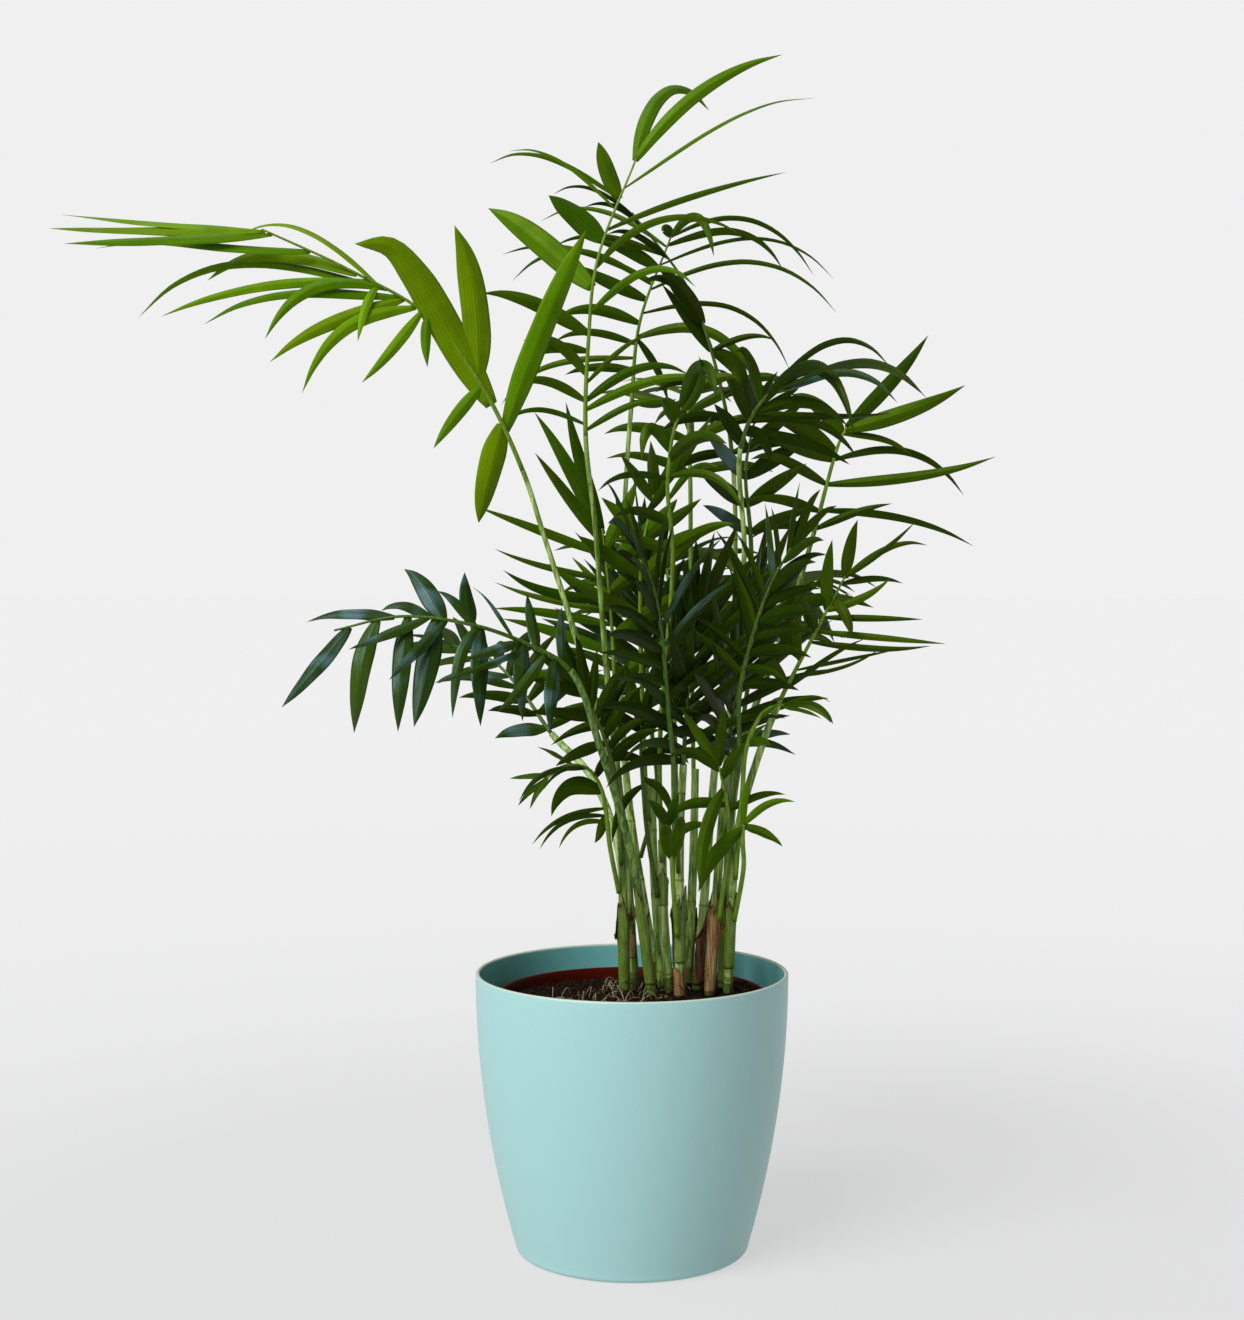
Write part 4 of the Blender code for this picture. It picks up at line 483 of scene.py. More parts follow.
FRONDS["frond_foot_centre"] = frond_of(
    cane="cane_15", height=0.25, colour=DARK_GREEN, seed=44,
    stem=((10, -20, 300),),
    rib=((8, -26, 325), (6, -34, 352), (6, -40, 372)),
    face=((0, -1, 0.2), (0, -1, 0.3)),
    right=[row((0.20, 0.90), (40, 44, 44), (120, 70, 44), (7, 8, 8), lift=0.2, droop=(1.5, 0.6, 0.2))],
    left=[row((0.10, 0.90), (44, 44, 44), (128, 74, 44), (7, 8, 8), lift=0.2, droop=(1.5, 0.6, 0.2))],
    extra=((0.99, 14, 46, 8, 0, 0.1), (0.99, -14, 46, 8, 0, 0.1)))
FRONDS["frond_front"] = frond_of(
    cane="cane_07", height=0.27, colour=DARK_GREEN, seed=51,
    stem=((28, -52, 345),),
    rib=((24, -64, 385), (20, -86, 428), (14, -108, 464), (4, -128, 490)),
    face=((0.3, -0.8, 0.7), (0.3, -0.8, 0.9)),
    right=[row((0.05, 0.90), (56, 74, 78, 72, 66), (62, 50, 38, 30, 22), (8, 9, 9, 9, 8), lift=0.1,
               droop=(0.1, 0.2))],
    left=[row((0.15, 0.95), (66, 78, 74, 68, 58), (58, 44, 36, 28, 22), (8, 9, 9, 8, 8), lift=0.1,
              droop=(0.1, 0.2))],
    extra=((0.99, 8, 60, 8, 0, 0.2), (0.99, -12, 55, 8, 0, 0.3)))
FRONDS["frond_front_right"] = frond_of(
    cane="cane_10", height=0.285, colour=DARK_GREEN, seed=52,
    stem=((72, -48, 350),),
    rib=((72, -62, 395), (80, -80, 436), (90, -98, 468), (102, -112, 492)),
    face=((-0.3, -0.9, 0.6), (-0.2, -0.9, 0.8)),
    right=[row((0.05, 0.90), (50, 62, 66, 60, 52), (60, 48, 38, 30, 24), (8, 8, 9, 8, 7), lift=0.1,
               droop=0.2)],
    left=[row((0.12, 0.95), (56, 66, 64, 56, 46), (64, 50, 38, 30, 24), (8, 9, 9, 8, 7), lift=0.1,
              droop=(0.1, 0.2))],
    extra=((0.99, 8, 50, 8, 0, 0.2), (0.99, -12, 46, 8, 0, 0.2)))
FRONDS["frond_rear"] = frond_of(
    cane="cane_08", colour=DARK_GREEN, seed=54,
    stem=((34, 48, 182), (32, 60, 300), (31, 85, 380)),
    rib=((30, 110, 430), (28, 160, 480), (26, 210, 485), (25, 245, 465)),
    face=((0, 0, 1), (0, 0, 1)),
    right=[row((0.05, 0.95), (80, 92, 96, 88, 75, 60), (75, 68, 60, 50, 42, 35), (11, 12, 12, 11, 10, 9),
               lift=0.1, droop=0.3)],
    extra=((0.99, 10, 65, 10, 0, 0.3), (0.99, -12, 65, 10, 0, 0.3)))
FRONDS["frond_rear_right"] = frond_of(
    cane="cane_11", height=0.29, colour=DARK_GREEN, seed=55,
    stem=((76, 62, 370),),
    rib=((86, 90, 420), (105, 130, 465), (125, 170, 475), (138, 195, 460)),
    face=((0, 0, 1), (0, 0, 1)),
    right=[row((0.05, 0.95), (75, 85, 85, 80, 65, 55), (75, 68, 60, 50, 42, 35), (11, 12, 12, 11, 10, 9),
               lift=0.1, droop=0.3)],
    extra=((0.99, 10, 60, 10, 0, 0.3), (0.99, -12, 60, 10, 0, 0.3)))
FRONDS["frond_rear_high"] = frond_of(
    cane="cane_14", height=0.31, colour=LEAF_GREEN, seed=57,
    stem=((44, 65, 420), (44, 90, 500)),
    rib=((44, 100, 545), (43, 130, 600), (42, 175, 622), (42, 210, 612)),
    face=((0, -0.3, 1), (0, 0, 1)),
    right=[row((0.05, 0.95), (60, 70, 75, 70, 60, 50), (75, 68, 60, 50, 42, 35), (9, 10, 10, 9, 9, 8),
               lift=0.1, droop=0.25)],
    extra=((0.99, 10, 60, 9, 0, 0.25), (0.99, -12, 60, 9, 0, 0.25)))

# Short canes whose own top has no frond
BARE_CANES = {
    "cane_06": ((0.022, 0.008, 0.182), (0.016, 0.014, 0.260), (0.014, 0.016, 0.330)),
    "cane_14": ((0.040, 0.024, 0.182), (0.044, 0.034, 0.260), (0.046, 0.040, 0.335)),
    "cane_15": ((0.026, -0.008, 0.182), (0.022, -0.010, 0.240), (0.021, -0.011, 0.290)),
}

# A leaflet that would touch another part in the solids tries these changes of its angle in degrees,
# its lift and its length, one after the other.
CHANGES = ((0, 0, 1), (0, 0.18, 1), (0, -0.18, 1), (8, 0, 1), (-8, 0, 1), (8, 0.2, 1), (-8, 0.2, 1),
           (8, -0.2, 1), (-8, -0.2, 1), (0, 0.4, 0.9), (0, -0.4, 0.9), (16, 0.2, 0.85), (-16, -0.2, 0.85),
           (0, 0, 0.7), (0, 0.3, 0.6), (0, -0.3, 0.6), (0, 0, 0.45))


def unit(vector):
    vector = np.asarray(vector, float)
    return vector / max(np.linalg.norm(vector), 1e-12)


def smooth_curve(points, steps):
    """Points along the centripetal spline through the given points, steps to each span."""
    given = [np.asarray(point, float) for point in points]
    given = [2 * given[0] - given[1]] + given + [2 * given[-1] - given[-2]]
    curve = []
    for i in range(len(given) - 3):
        a, b, c, d = given[i:i + 4]
        knots = [0.0]
        for start, end in ((a, b), (b, c), (c, d)):
            knots.append(knots[-1] + np.linalg.norm(end - start) ** 0.5)
        t0, t1, t2, t3 = knots
        for step in range(steps):
            t = t1 + (t2 - t1) * step / steps
            ab = ((t1 - t) * a + (t - t0) * b) / (t1 - t0)
            bc = ((t2 - t) * b + (t - t1) * c) / (t2 - t1)
            cd = ((t3 - t) * c + (t - t2) * d) / (t3 - t2)
            abc = ((t2 - t) * ab + (t - t0) * bc) / (t2 - t0)
            bcd = ((t3 - t) * bc + (t - t1) * cd) / (t3 - t1)
            curve.append(((t2 - t) * abc + (t - t1) * bcd) / (t2 - t1))
    curve.append(given[-2])
    return np.array(curve)


def along(curve):
    """Length of the curve up to each of its points."""
    return np.concatenate([[0.0], np.cumsum(np.linalg.norm(np.diff(curve, axis=0), axis=1))])


def point_at(curve, share):
    lengths = along(curve)
    return np.array([np.interp(share * lengths[-1], lengths, curve[:, k]) for k in range(3)])


def tangent_at(curve, share, reach=0.02):
    return unit(point_at(curve, min(1.0, share + reach)) - point_at(curve, max(0.0, share - reach)))


def spread(values, share):
    """Value at a share of the way through evenly spaced values, or the one value given."""
    if np.isscalar(values):
        return float(values)
    return float(np.interp(share, np.linspace(0, 1, len(values)), values))


def frame_at(rib, face, share):
    """Along the rib, out of its upper side, and to its right."""
    tangent = tangent_at(rib, share)
    normal = np.array([spread([way[k] for way in face], share) for k in range(3)])
    normal = unit(normal - np.dot(normal, tangent) * tangent)
    return tangent, normal, np.cross(tangent, normal)


def leaflet_line(root, direction, length, droop, curl, sideways, steps=6):
    """Middle line of a leaflet that sags and curls to the side more and more towards its tip."""
    down = np.array([0.0, 0.0, -1.0])
    line = [root]
    for step in range(steps):
        share = (step + 0.5) / steps
        turn = down * droop * 3 * share ** 2 + sideways * curl * 2 * share
        line.append(line[-1] + unit(direction + turn) * length / steps)
    return np.array(line)


def leaflet_plans(frond):
    """Each leaflet's place on the rib and its angle, length, width, lift, droop and curl."""
    random = np.random.default_rng(frond["seed"])
    plans = []
    for side, rows in ((1.0, frond["right"]), (-1.0, frond["left"])):
        for part in rows:
            count = len(part["lengths"])
            for i, length in enumerate(part["lengths"]):
                share = i / max(1, count - 1)
                turned, lifted, longer, sagging, wider = SCATTER * random.uniform(-1, 1, len(SCATTER))
                plans.append(dict(
                    at=part["at"][0] + (part["at"][1] - part["at"][0]) * share,
                    angle=side * (spread(part["angles"], share) + turned),
                    lift=spread(part["lift"], share) + lifted,
                    length=length * MM * (1 + longer),
                    droop=spread(part["droop"], share) + sagging,
                    width=spread(part["width"], share) * MM * (1 + wider),
                    curl=spread(part["curl"], share)))
    frontal = abs(unit(np.array(frond["face"][-1]))[1]) > FRONTAL
    for given in frond["extra"]:
        at, angle, length, width, lift, droop, curl = (*given, 0, 0, 0)[:7]
        swung = lift + (SWING * random.uniform(-SWING_BACK, 1.0) if frontal else 0.0)
        longer = math.hypot(1, swung) / math.hypot(1, lift)
        plans.append(dict(at=at, angle=angle, lift=swung, length=length * MM * longer, droop=droop,
                          width=width * MM, curl=curl))
    return plans


def leaflet(frond, rib, plan, change):
    """Middle line, width and upper direction of one leaflet after a change."""
    turn, rise, shrink = change
    tangent, normal, right = frame_at(rib, frond["face"], plan["at"])
    angle = math.radians(plan["angle"] + math.copysign(turn, turn * plan["angle"]))
    direction = unit(math.cos(angle) * tangent + math.sin(angle) * right + (plan["lift"] + rise) * normal)
    line = leaflet_line(point_at(rib, plan["at"]), direction, plan["length"] * shrink, plan["droop"],
                        plan["curl"], right)
    return line, plan["width"], normal


def cane_radius(height):
    return float(np.interp(height, (SOIL_CROWN, CANE_MIDDLE_HEIGHT, CANE_NECK_HEIGHT),
                           (CANE_RADIUS, CANE_MIDDLE_RADIUS, NECK_RADIUS)))


def cane_curves(steps):
    """Middle line of every cane, from the soil to its neck or its cut top, steps to each span."""
    curves = {name: smooth_curve(points, steps) for name, points in BARE_CANES.items()}
    for frond in FRONDS.values():
        if "height" not in frond:
            curve = smooth_curve(frond["stem"] + frond["rib"], steps)
            curves[frond["cane"]] = curve[:len(frond["stem"]) * steps + 1]
    return curves


def at_height(curve, height):
    return np.array([np.interp(height, curve[:, 2], curve[:, k]) for k in range(3)])


def frond_curves(frond, canes):
    """Middle lines of a frond's stalk, from its cane's side or the soil, and of its rib."""
    stem = frond["stem"]
    if "height" in frond:
        start = at_height(canes[frond["cane"]], frond["height"])
        outward = np.array(stem[0]) - start
        outward[2] = 0
        start = start + unit(outward) * (cane_radius(frond["height"]) + NECK_RADIUS + GAP)
        stem = (tuple(start),) + stem
    curve = smooth_curve(stem + frond["rib"], STEPS)
    neck = len(stem) * STEPS
    return curve[:neck + 1], curve[neck:]


def lathe(profile, sides):
    """Vertices and faces of a solid turned from a profile that starts and ends on the axis."""
    vertices = [(0.0, 0.0, profile[0][1])]
    for radius, height in profile[1:-1]:
        vertices += circle(radius, height, sides)
    vertices.append((0.0, 0.0, profile[-1][1]))
    faces = []
    rings = len(profile) - 2
    for k in range(sides):
        after = (k + 1) % sides
        faces.append((0, 1 + after, 1 + k))
        for ring in range(rings - 1):
            a = 1 + ring * sides
            faces.append((a + k, a + after, a + sides + after, a + sides + k))
        a = 1 + (rings - 1) * sides
        faces.append((a + k, a + after, len(vertices) - 1))
    return vertices, faces


def arc(centre, radius, start, end, steps):
    """Points of a round corner, angles in degrees."""
    turns = np.radians(np.linspace(start, end, steps + 1))
    return [(centre[0] + radius * math.cos(t), centre[1] + radius * math.sin(t)) for t in turns]


def pot_radius(height):
    """Outer radius of the cover pot, which flares less and less towards its rim."""
    return POT_RIM_RADIUS - POT_FLARE * (1 - height / POT_HEIGHT) ** 2


def nursery_radius(height):
    """Outer radius of the straight-sided nursery pot."""
    share = (height - POT_FLOOR) / (NURSERY_TOP - POT_FLOOR)
    return NURSERY_FOOT_RADIUS + (NURSERY_RIM_RADIUS - NURSERY_FOOT_RADIUS) * share


def soil_height(x, y):
    """Top of the soil: level round the canes and falling to the nursery pot's wall."""
    away = math.hypot(x - SOIL_CENTRE_X, y - SOIL_CENTRE_Y) - SOIL_CROWN_RADIUS
    share = min(1.0, max(0.0, away / SOIL_FALL))
    return SOIL_CROWN - (SOIL_CROWN - SOIL_EDGE) * share ** 2 * (3 - 2 * share)


def circle(radius, height, count):
    """Evenly spaced points of a level circle round the axis."""
    turns = [2 * math.pi * k / count for k in range(count)]
    return [np.array((radius * math.cos(turn), radius * math.sin(turn), height)) for turn in turns]


# Meshes

def make_piece(name, vertices, faces, materials, slots=None, uvs=None):
    """A new mesh object; slots holds each face's material and uvs each vertex's texture place."""
    mesh = bpy.data.meshes.new(name)
    mesh.from_pydata([tuple(map(float, vertex)) for vertex in vertices], [], faces)
    for material in materials:
        mesh.materials.append(material)
    if slots is not None:
        mesh.polygons.foreach_set("material_index", slots)
        layer = mesh.uv_layers.new(name="UVMap")
        corners = np.zeros(len(mesh.loops), dtype=np.int32)
        mesh.loops.foreach_get("vertex_index", corners)
        layer.data.foreach_set("uv", np.asarray(uvs, dtype=np.float32)[corners].ravel())
        mesh.shade_smooth()
    mesh.update()
    piece = bpy.data.objects.new(name, mesh)
    bpy.context.scene.collection.objects.link(piece)
    return piece


class Heap:
    """Vertices, faces, material numbers and texture places of many small forms in one mesh."""

    def __init__(self):
        self.vertices = []
        self.faces = []
        self.slots = []
        self.uvs = []

    def add(self, vertices, faces, slots, uvs=None):
        """Takes in one form; slots is a number, or one for each face."""
        start = len(self.vertices)
        self.vertices.extend(vertices)
        self.faces.extend(tuple(start + k for k in face) for face in faces)
        self.slots.extend(slots if hasattr(slots, "__len__") else [slots] * len(faces))
        self.uvs.extend(uvs if uvs is not None else [(0.0, 0.0)] * len(vertices))

    def piece(self, name, materials, node_names, slot):
        """Makes the mesh, in place of nodes of the frame."""
        made = make_piece(name, self.vertices, self.faces, materials, self.slots, self.uvs)
        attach(made, "root")
        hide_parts(*node_names)


def sheet_faces(rows, columns):
    """Faces of a thin closed sheet of two grids of points: upper, lower and rim faces."""
    count = rows * columns
    upper = []
    lower = []
    for i in range(rows - 1):
        for j in range(columns - 1):
            a = i * columns + j
            b = a + columns
            upper.append((a, a + 1, b + 1, b))
            lower.append((count + a, count + b, count + b + 1, count + a + 1))
    border = list(range(columns))
    border += [i * columns + columns - 1 for i in range(1, rows)]
    border += [(rows - 1) * columns + j for j in range(columns - 2, -1, -1)]
    border += [i * columns for i in range(rows - 2, 0, -1)]
    rim = [(b, a, count + a, count + b) for a, b in zip(border, border[1:] + border[:1])]
    return upper, lower, rim


def disc_faces(first, rings, sides, centre):
    """Upward faces between rings of vertices, from the given first one, and a centre."""
    faces = []
    for k in range(sides):
        after = (k + 1) % sides
        faces.append((first + k, first + after, centre))
        for a in range(first, first + (rings - 1) * sides, sides):
            faces.append((a + k, a + sides + k, a + sides + after, a + after))
    return faces


def directions(curve):
    """Direction of the curve at each of its points."""
    last = len(curve) - 1
    return [unit(curve[min(i + 1, last)] - curve[max(i - 1, 0)]) for i in range(len(curve))]


def leaf_profile(share, blunt):
    """Half width of a leaflet as a share of its widest, from its root to its tip."""
    if share < LEAF_PEAK:
        rise = math.sin(0.5 * math.pi * share / LEAF_PEAK)
        return LEAF_ROOT + (1 - LEAF_ROOT) * rise ** 0.85
    fall = (share - LEAF_PEAK) / (1 - LEAF_PEAK)
    return max(LEAF_TIP, 1 - fall ** blunt)


def fine_leaflet(heap, line, width, normal, slots, random, blunt):
    """A thin closed leaflet with a midrib, pleats, a folded section and a wavy margin."""
    curve = smooth_curve(line, LEAF_STEPS)
    lengths = along(curve)
    twist = math.radians(random.uniform(-LEAF_TWIST, LEAF_TWIST))
    phase = random.uniform(0, 2 * math.pi)
    waves = random.uniform(1.2, 2.4)
    rows = []
    side = None
    for point, length, tangent in zip(curve, lengths, directions(curve)):
        share = length / lengths[-1]
        right = np.cross(tangent, normal)
        if side is not None and (np.linalg.norm(right) < 0.25 or np.dot(right, side) < 0):
            right = side - np.dot(side, tangent) * tangent
        side = unit(right)
        turn = twist * share ** 1.5
        right = math.cos(turn) * side + math.sin(turn) * np.cross(side, tangent)
        half = 0.5 * width * leaf_profile(share, blunt)
        rows.append((point, right, np.cross(right, tangent), half, share))
    vertices = []
    uvs = []
    for layer in (0, 1):
        for point, right, upper, half, share in rows:
            for j in range(LEAF_COLUMNS + 1):
                across = 2 * j / LEAF_COLUMNS - 1
                drop = LEAF_FOLD * half * abs(across) ** 1.25
                wave = math.sin(waves * 2 * math.pi * share + phase + across)
                ripple = LEAF_RIPPLE * half * wave * across ** 2
                pleat = (PLEAT if j % 2 else -PLEAT) * min(1.0, half / PLEAT_FULL_HALF) * (1 - share)
                rib = MIDRIB * (1 - share) if j * 2 == LEAF_COLUMNS else 0.0
                lift = -drop + ripple + pleat + rib
                thin = LEAF_EDGE + (LEAF_THICKNESS - LEAF_EDGE) * (1 - across ** 2) * (1 - share)
                reach = half * across * (1 - 0.10 * LEAF_FOLD)
                vertices.append(point + right * reach + upper * (lift - layer * thin))
                uvs.append((0.5 + 0.5 * across, share * lengths[-1] * UV_SCALE))
    upper, lower, rim = sheet_faces(len(rows), LEAF_COLUMNS + 1)
    used = [slots[0]] * len(upper) + [slots[1]] * (len(lower) + len(rim))
    heap.add(vertices, upper + lower + rim, used, uvs)


def fine_tube(heap, curve, radii, sides, slots, bumps=None):
    """A smooth closed tube; slots is a number, or one for each ring of faces."""
    vertices = []
    uvs = []
    side = np.array((0.0, -1.0, 0.0))
    for point, radius, length, tangent in zip(curve, radii, along(curve), directions(curve)):
        side = unit(side - np.dot(side, tangent) * tangent)
        other = np.cross(tangent, side)
        for k in range(sides):
            turn = 2 * math.pi * k / sides
            reach = radius * (1 + (bumps(k / sides, length) if bumps else 0.0))
            vertices.append(point + reach * (math.cos(turn) * side + math.sin(turn) * other))
            uvs.append((k / sides, length * UV_SCALE))
    faces = []
    used = []
    for i in range(len(curve) - 1):
        for k in range(sides):
            a = i * sides + k
            b = i * sides + (k + 1) % sides
            faces.append((a, b, b + sides, a + sides))
            used.append(slots[i] if hasattr(slots, "__len__") else slots)
    last = (len(curve) - 1) * sides
    faces += [tuple(range(sides))[::-1], tuple(range(last, last + sides))]
    heap.add(vertices, faces, used + [used[0], used[-1]], uvs)


# Materials

class Skin:
    """A material with its shader's inputs, and short ways to add nodes to it."""

    def __init__(self, name, colour, roughness, specular):
        self.material = bpy.data.materials.new(name)
        self.material.use_nodes = True
        self.tree = self.material.node_tree
        self.inputs = self.tree.nodes["Principled BSDF"].inputs
        self.set(self.inputs["Base Color"], colour)
        self.set(self.inputs["Roughness"], roughness)
        self.set(self.inputs["Specular IOR Level"], specular)
        self.place = self.node("ShaderNodeTexCoord", {}, "Object")

    def set(self, socket, source):
        """Links an input to another node's output, or sets its value."""
        if isinstance(source, bpy.types.NodeSocket):
            self.tree.links.new(source, socket)
        else:
            socket.default_value = (*source, 1.0) if socket.type == "RGBA" else source

    def node(self, kind, inputs, output=0, **settings):
        """A new node's output; its inputs are given by number or name."""
        made = self.tree.nodes.new(kind)
        for key, value in settings.items():
            setattr(made, key, value)
        for key, source in inputs.items():
            self.set(made.inputs[key], source)
        return made.outputs[output]

    def calculate(self, operation, *values):
        """A sum of one or two values."""
        return self.node("ShaderNodeMath", dict(enumerate(values)), operation=operation)

    def mix(self, factor, first, second):
        """A mix of two colours."""
        return self.node("ShaderNodeMix", {0: factor, 6: first, 7: second}, 2, data_type="RGBA")

    def ranged(self, *values):
        """A value moved from one range to another: value, low, high, new low, new high."""
        return self.node("ShaderNodeMapRange", dict(enumerate(values)))

    def stretched(self, place, scale):
        """Texture places stretched along their axes."""
        return self.node("ShaderNodeMapping", {"Vector": place, "Scale": scale})

    def noise(self, scale, detail, rough=0.5, place=None):
        given = {"Scale": scale, "Detail": detail, "Roughness": rough}
        given["Vector"] = self.place if place is None else place
        return self.node("ShaderNodeTexNoise", given)

    def finish(self, tone, roughness, height, strength, distance):
        """Links colour, roughness and relief to the shader, and gives the material."""
        relief = {"Height": height, "Strength": strength, "Distance": distance}
        self.set(self.inputs["Base Color"], tone)
        self.set(self.inputs["Roughness"], roughness)
        self.set(self.inputs["Normal"], self.node("ShaderNodeBump", relief))
        return self.material


def leaf_material(name, colour, light, roughness, specular=0.17, shine=(0.80, 1.0, 0.12), bloom_and_painted_sheen=None):
    """Leaf skin: fine veins along the leaflet, slow blotches, low relief, maybe a painted sheen by its root:
    pale bluish streaky patches in the base colour that stand in for highlights.
    """
    skin = Skin(name, colour, roughness, specular)
    skin.set(skin.inputs["Specular Tint"], shine)
    uv = skin.node("ShaderNodeUVMap", {}, uv_map="UVMap")
    across, up = [skin.node("ShaderNodeSeparateXYZ", {0: uv}, output) for output in (0, 1)]
    streaks = skin.noise(1.6, 3.0, 0.6, skin.stretched(uv, (VEINS * 3.0, 0.35, 1.0)))
    veins = skin.calculate("COSINE", skin.calculate("MULTIPLY", across, 2 * math.pi * VEINS))
    blotch = skin.noise(55.0, 3.0)
    tone = skin.mix(skin.ranged(streaks, 0.40, 0.72, 0.0, 0.75), colour, light)
    tone = skin.mix(skin.ranged(blotch, 0.45, 0.75, 0.0, 0.6), tone, tuple(0.72 * c for c in colour))
    tone = skin.mix(skin.ranged(veins, 0.70, 1.0, 0.0, 0.55), tone, light)
    # Painted sheen: pale bluish patches mixed into the base colour near the root, where the leaflet bends
    # over, standing in for highlights
    if bloom_and_painted_sheen is not None:
        painted_sheen_patch = skin.ranged(up, 0.10, 0.50, 0.0, 1.0)
        for share in (skin.ranged(up, 0.55, 1.25, 1.0, 0.0),
                      skin.ranged(skin.noise(42.0, 1.0), 0.50, 0.62, 0.0, 1.0),
                      skin.ranged(streaks, 0.42, 0.62, 0.0, 1.0)):
            painted_sheen_patch = skin.calculate("MULTIPLY", painted_sheen_patch, share)
        tone = skin.mix(painted_sheen_patch, tone, bloom_and_painted_sheen)
    rough = skin.ranged(blotch, 0.3, 0.8, roughness - 0.05, roughness + 0.10)
    height = skin.calculate("ADD", skin.ranged(veins, -1.0, 1.0, 0.0, 0.5), streaks)
    return skin.finish(tone, rough, height, 0.35, 0.0003)


def stem_material(name, colour, light, dark, roughness):
    """Cane and stalk skin: long fibres, pale bloom and a few dark flecks."""
    skin = Skin(name, colour, roughness, 0.25)
    fibres = skin.noise(480.0, 3.0, 0.6, skin.stretched(skin.place, (1.0, 1.0, 0.06)))
    bloom_and_painted_sheen = skin.noise(45.0, 3.0)
    tone = skin.mix(skin.ranged(fibres, 0.44, 0.62, 0.0, 0.85), colour, light)
    tone = skin.mix(skin.ranged(bloom_and_painted_sheen, 0.48, 0.70, 0.0, 0.5), tone, light)
    tone = skin.mix(skin.ranged(skin.noise(420.0, 2.0), 0.66, 0.72, 0.0, 0.8), tone, dark)
    rough = skin.ranged(bloom_and_painted_sheen, 0.3, 0.7, roughness - 0.08, roughness + 0.12)
    return skin.finish(tone, rough, fibres, 0.4, 0.0002)


def grain_material(name):
    """Soil, roots or moulded plastic: a two-tone grain with a matching relief."""
    colour, light, roughness, scale, strength, distance, specular = GRAIN_SKINS[name]
    skin = Skin(name, colour, roughness, specular)
    grain = skin.noise(scale, 5.0, 0.6)
    tone = skin.mix(skin.ranged(grain, 0.35, 0.70, 0.0, 1.0), colour, light)
    tone = skin.mix(skin.ranged(skin.noise(scale * 0.08, 2.0), 0.40, 0.75, 0.0, 0.35), tone, colour)
    rough = skin.ranged(grain, 0.3, 0.7, roughness - 0.06, roughness + 0.06)
    return skin.finish(tone, rough, grain, strength, distance)


def leaf_skins():
    """Every leaf material, by its class and its tint or side."""
    skins = {}
    for kind, (upper, light, under, roughness) in LEAF_CLASSES.items():
        for k, tint in enumerate(LEAF_TINTS):
            tinted = [tuple(a * b for a, b in zip(colour, tint)) for colour in (upper, light)]
            name = "leaf_%s_%d" % (kind, k)
            skins[kind, k] = leaf_material(name, *tinted, roughness, *SHINE.get(kind, ()))
        skins[kind, "under"] = leaf_material("leaf_%s_under" % kind, under, light, roughness + 0.12, 0.2)
    return skins


# Fronds

def node_tips(name):
    """Search tree of a node's vertices."""
    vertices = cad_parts[name].data.vertices
    tree = KDTree(len(vertices))
    for vertex in vertices:
        tree.insert(vertex.co, vertex.index)
    tree.balance()
    return tree


def grown_leaflets(name, frond, rib):
    """The frond's leaflets as its solid has them: the first change whose tip the solid reaches."""
    tips = node_tips(name)
    grown = []
    for plan in leaflet_plans(frond):
        for change in CHANGES:
            line, width, normal = leaflet(frond, rib, plan, change)
            if tips.find(line[-1])[2] < TIP_MATCH:
                grown.append((plan, line, width, normal))
                break
    return grown


def between_leaflets(grown, frond, rib, random):
    """A finer leaflet half way between any two close neighbours on one side of the rib."""
    shapes = []
    for (one, *_), (two, *_) in zip(grown[:-1], grown[1:]):
        close = abs(one["at"] - two["at"]) < NEIGHBOURS and one["at"] < PAIRS_END
        if close and one["angle"] * two["angle"] > 0:
            plan = {key: 0.5 * (one[key] + two[key]) for key in one}
            plan["length"] *= BETWEEN_LENGTH
            plan["width"] *= BETWEEN_WIDTH
            plan["lift"] += random.choice((-BETWEEN_LIFT, BETWEEN_LIFT))
            shapes.append((plan, *leaflet(frond, rib, plan, CHANGES[0])))
    return shapes


def fine_rib(frond, stalk):
    """Middle line and radii of a frond's rib, with its stalk where that starts on a cane's side."""
    hung = "height" in frond
    stem = ((tuple(stalk[0]),) if hung else ()) + frond["stem"]
    fine = smooth_curve(stem + frond["rib"], RIB_STEPS)
    neck = len(stem) * RIB_STEPS
    onward = [max(0.0, (step - neck) / (len(fine) - 1 - neck)) for step in range(len(fine))]
    radii = [NECK_RADIUS + (RIB_END_RADIUS - NECK_RADIUS) * share for share in onward]
    first = 0 if hung else neck
    return fine[first:], radii[first:]


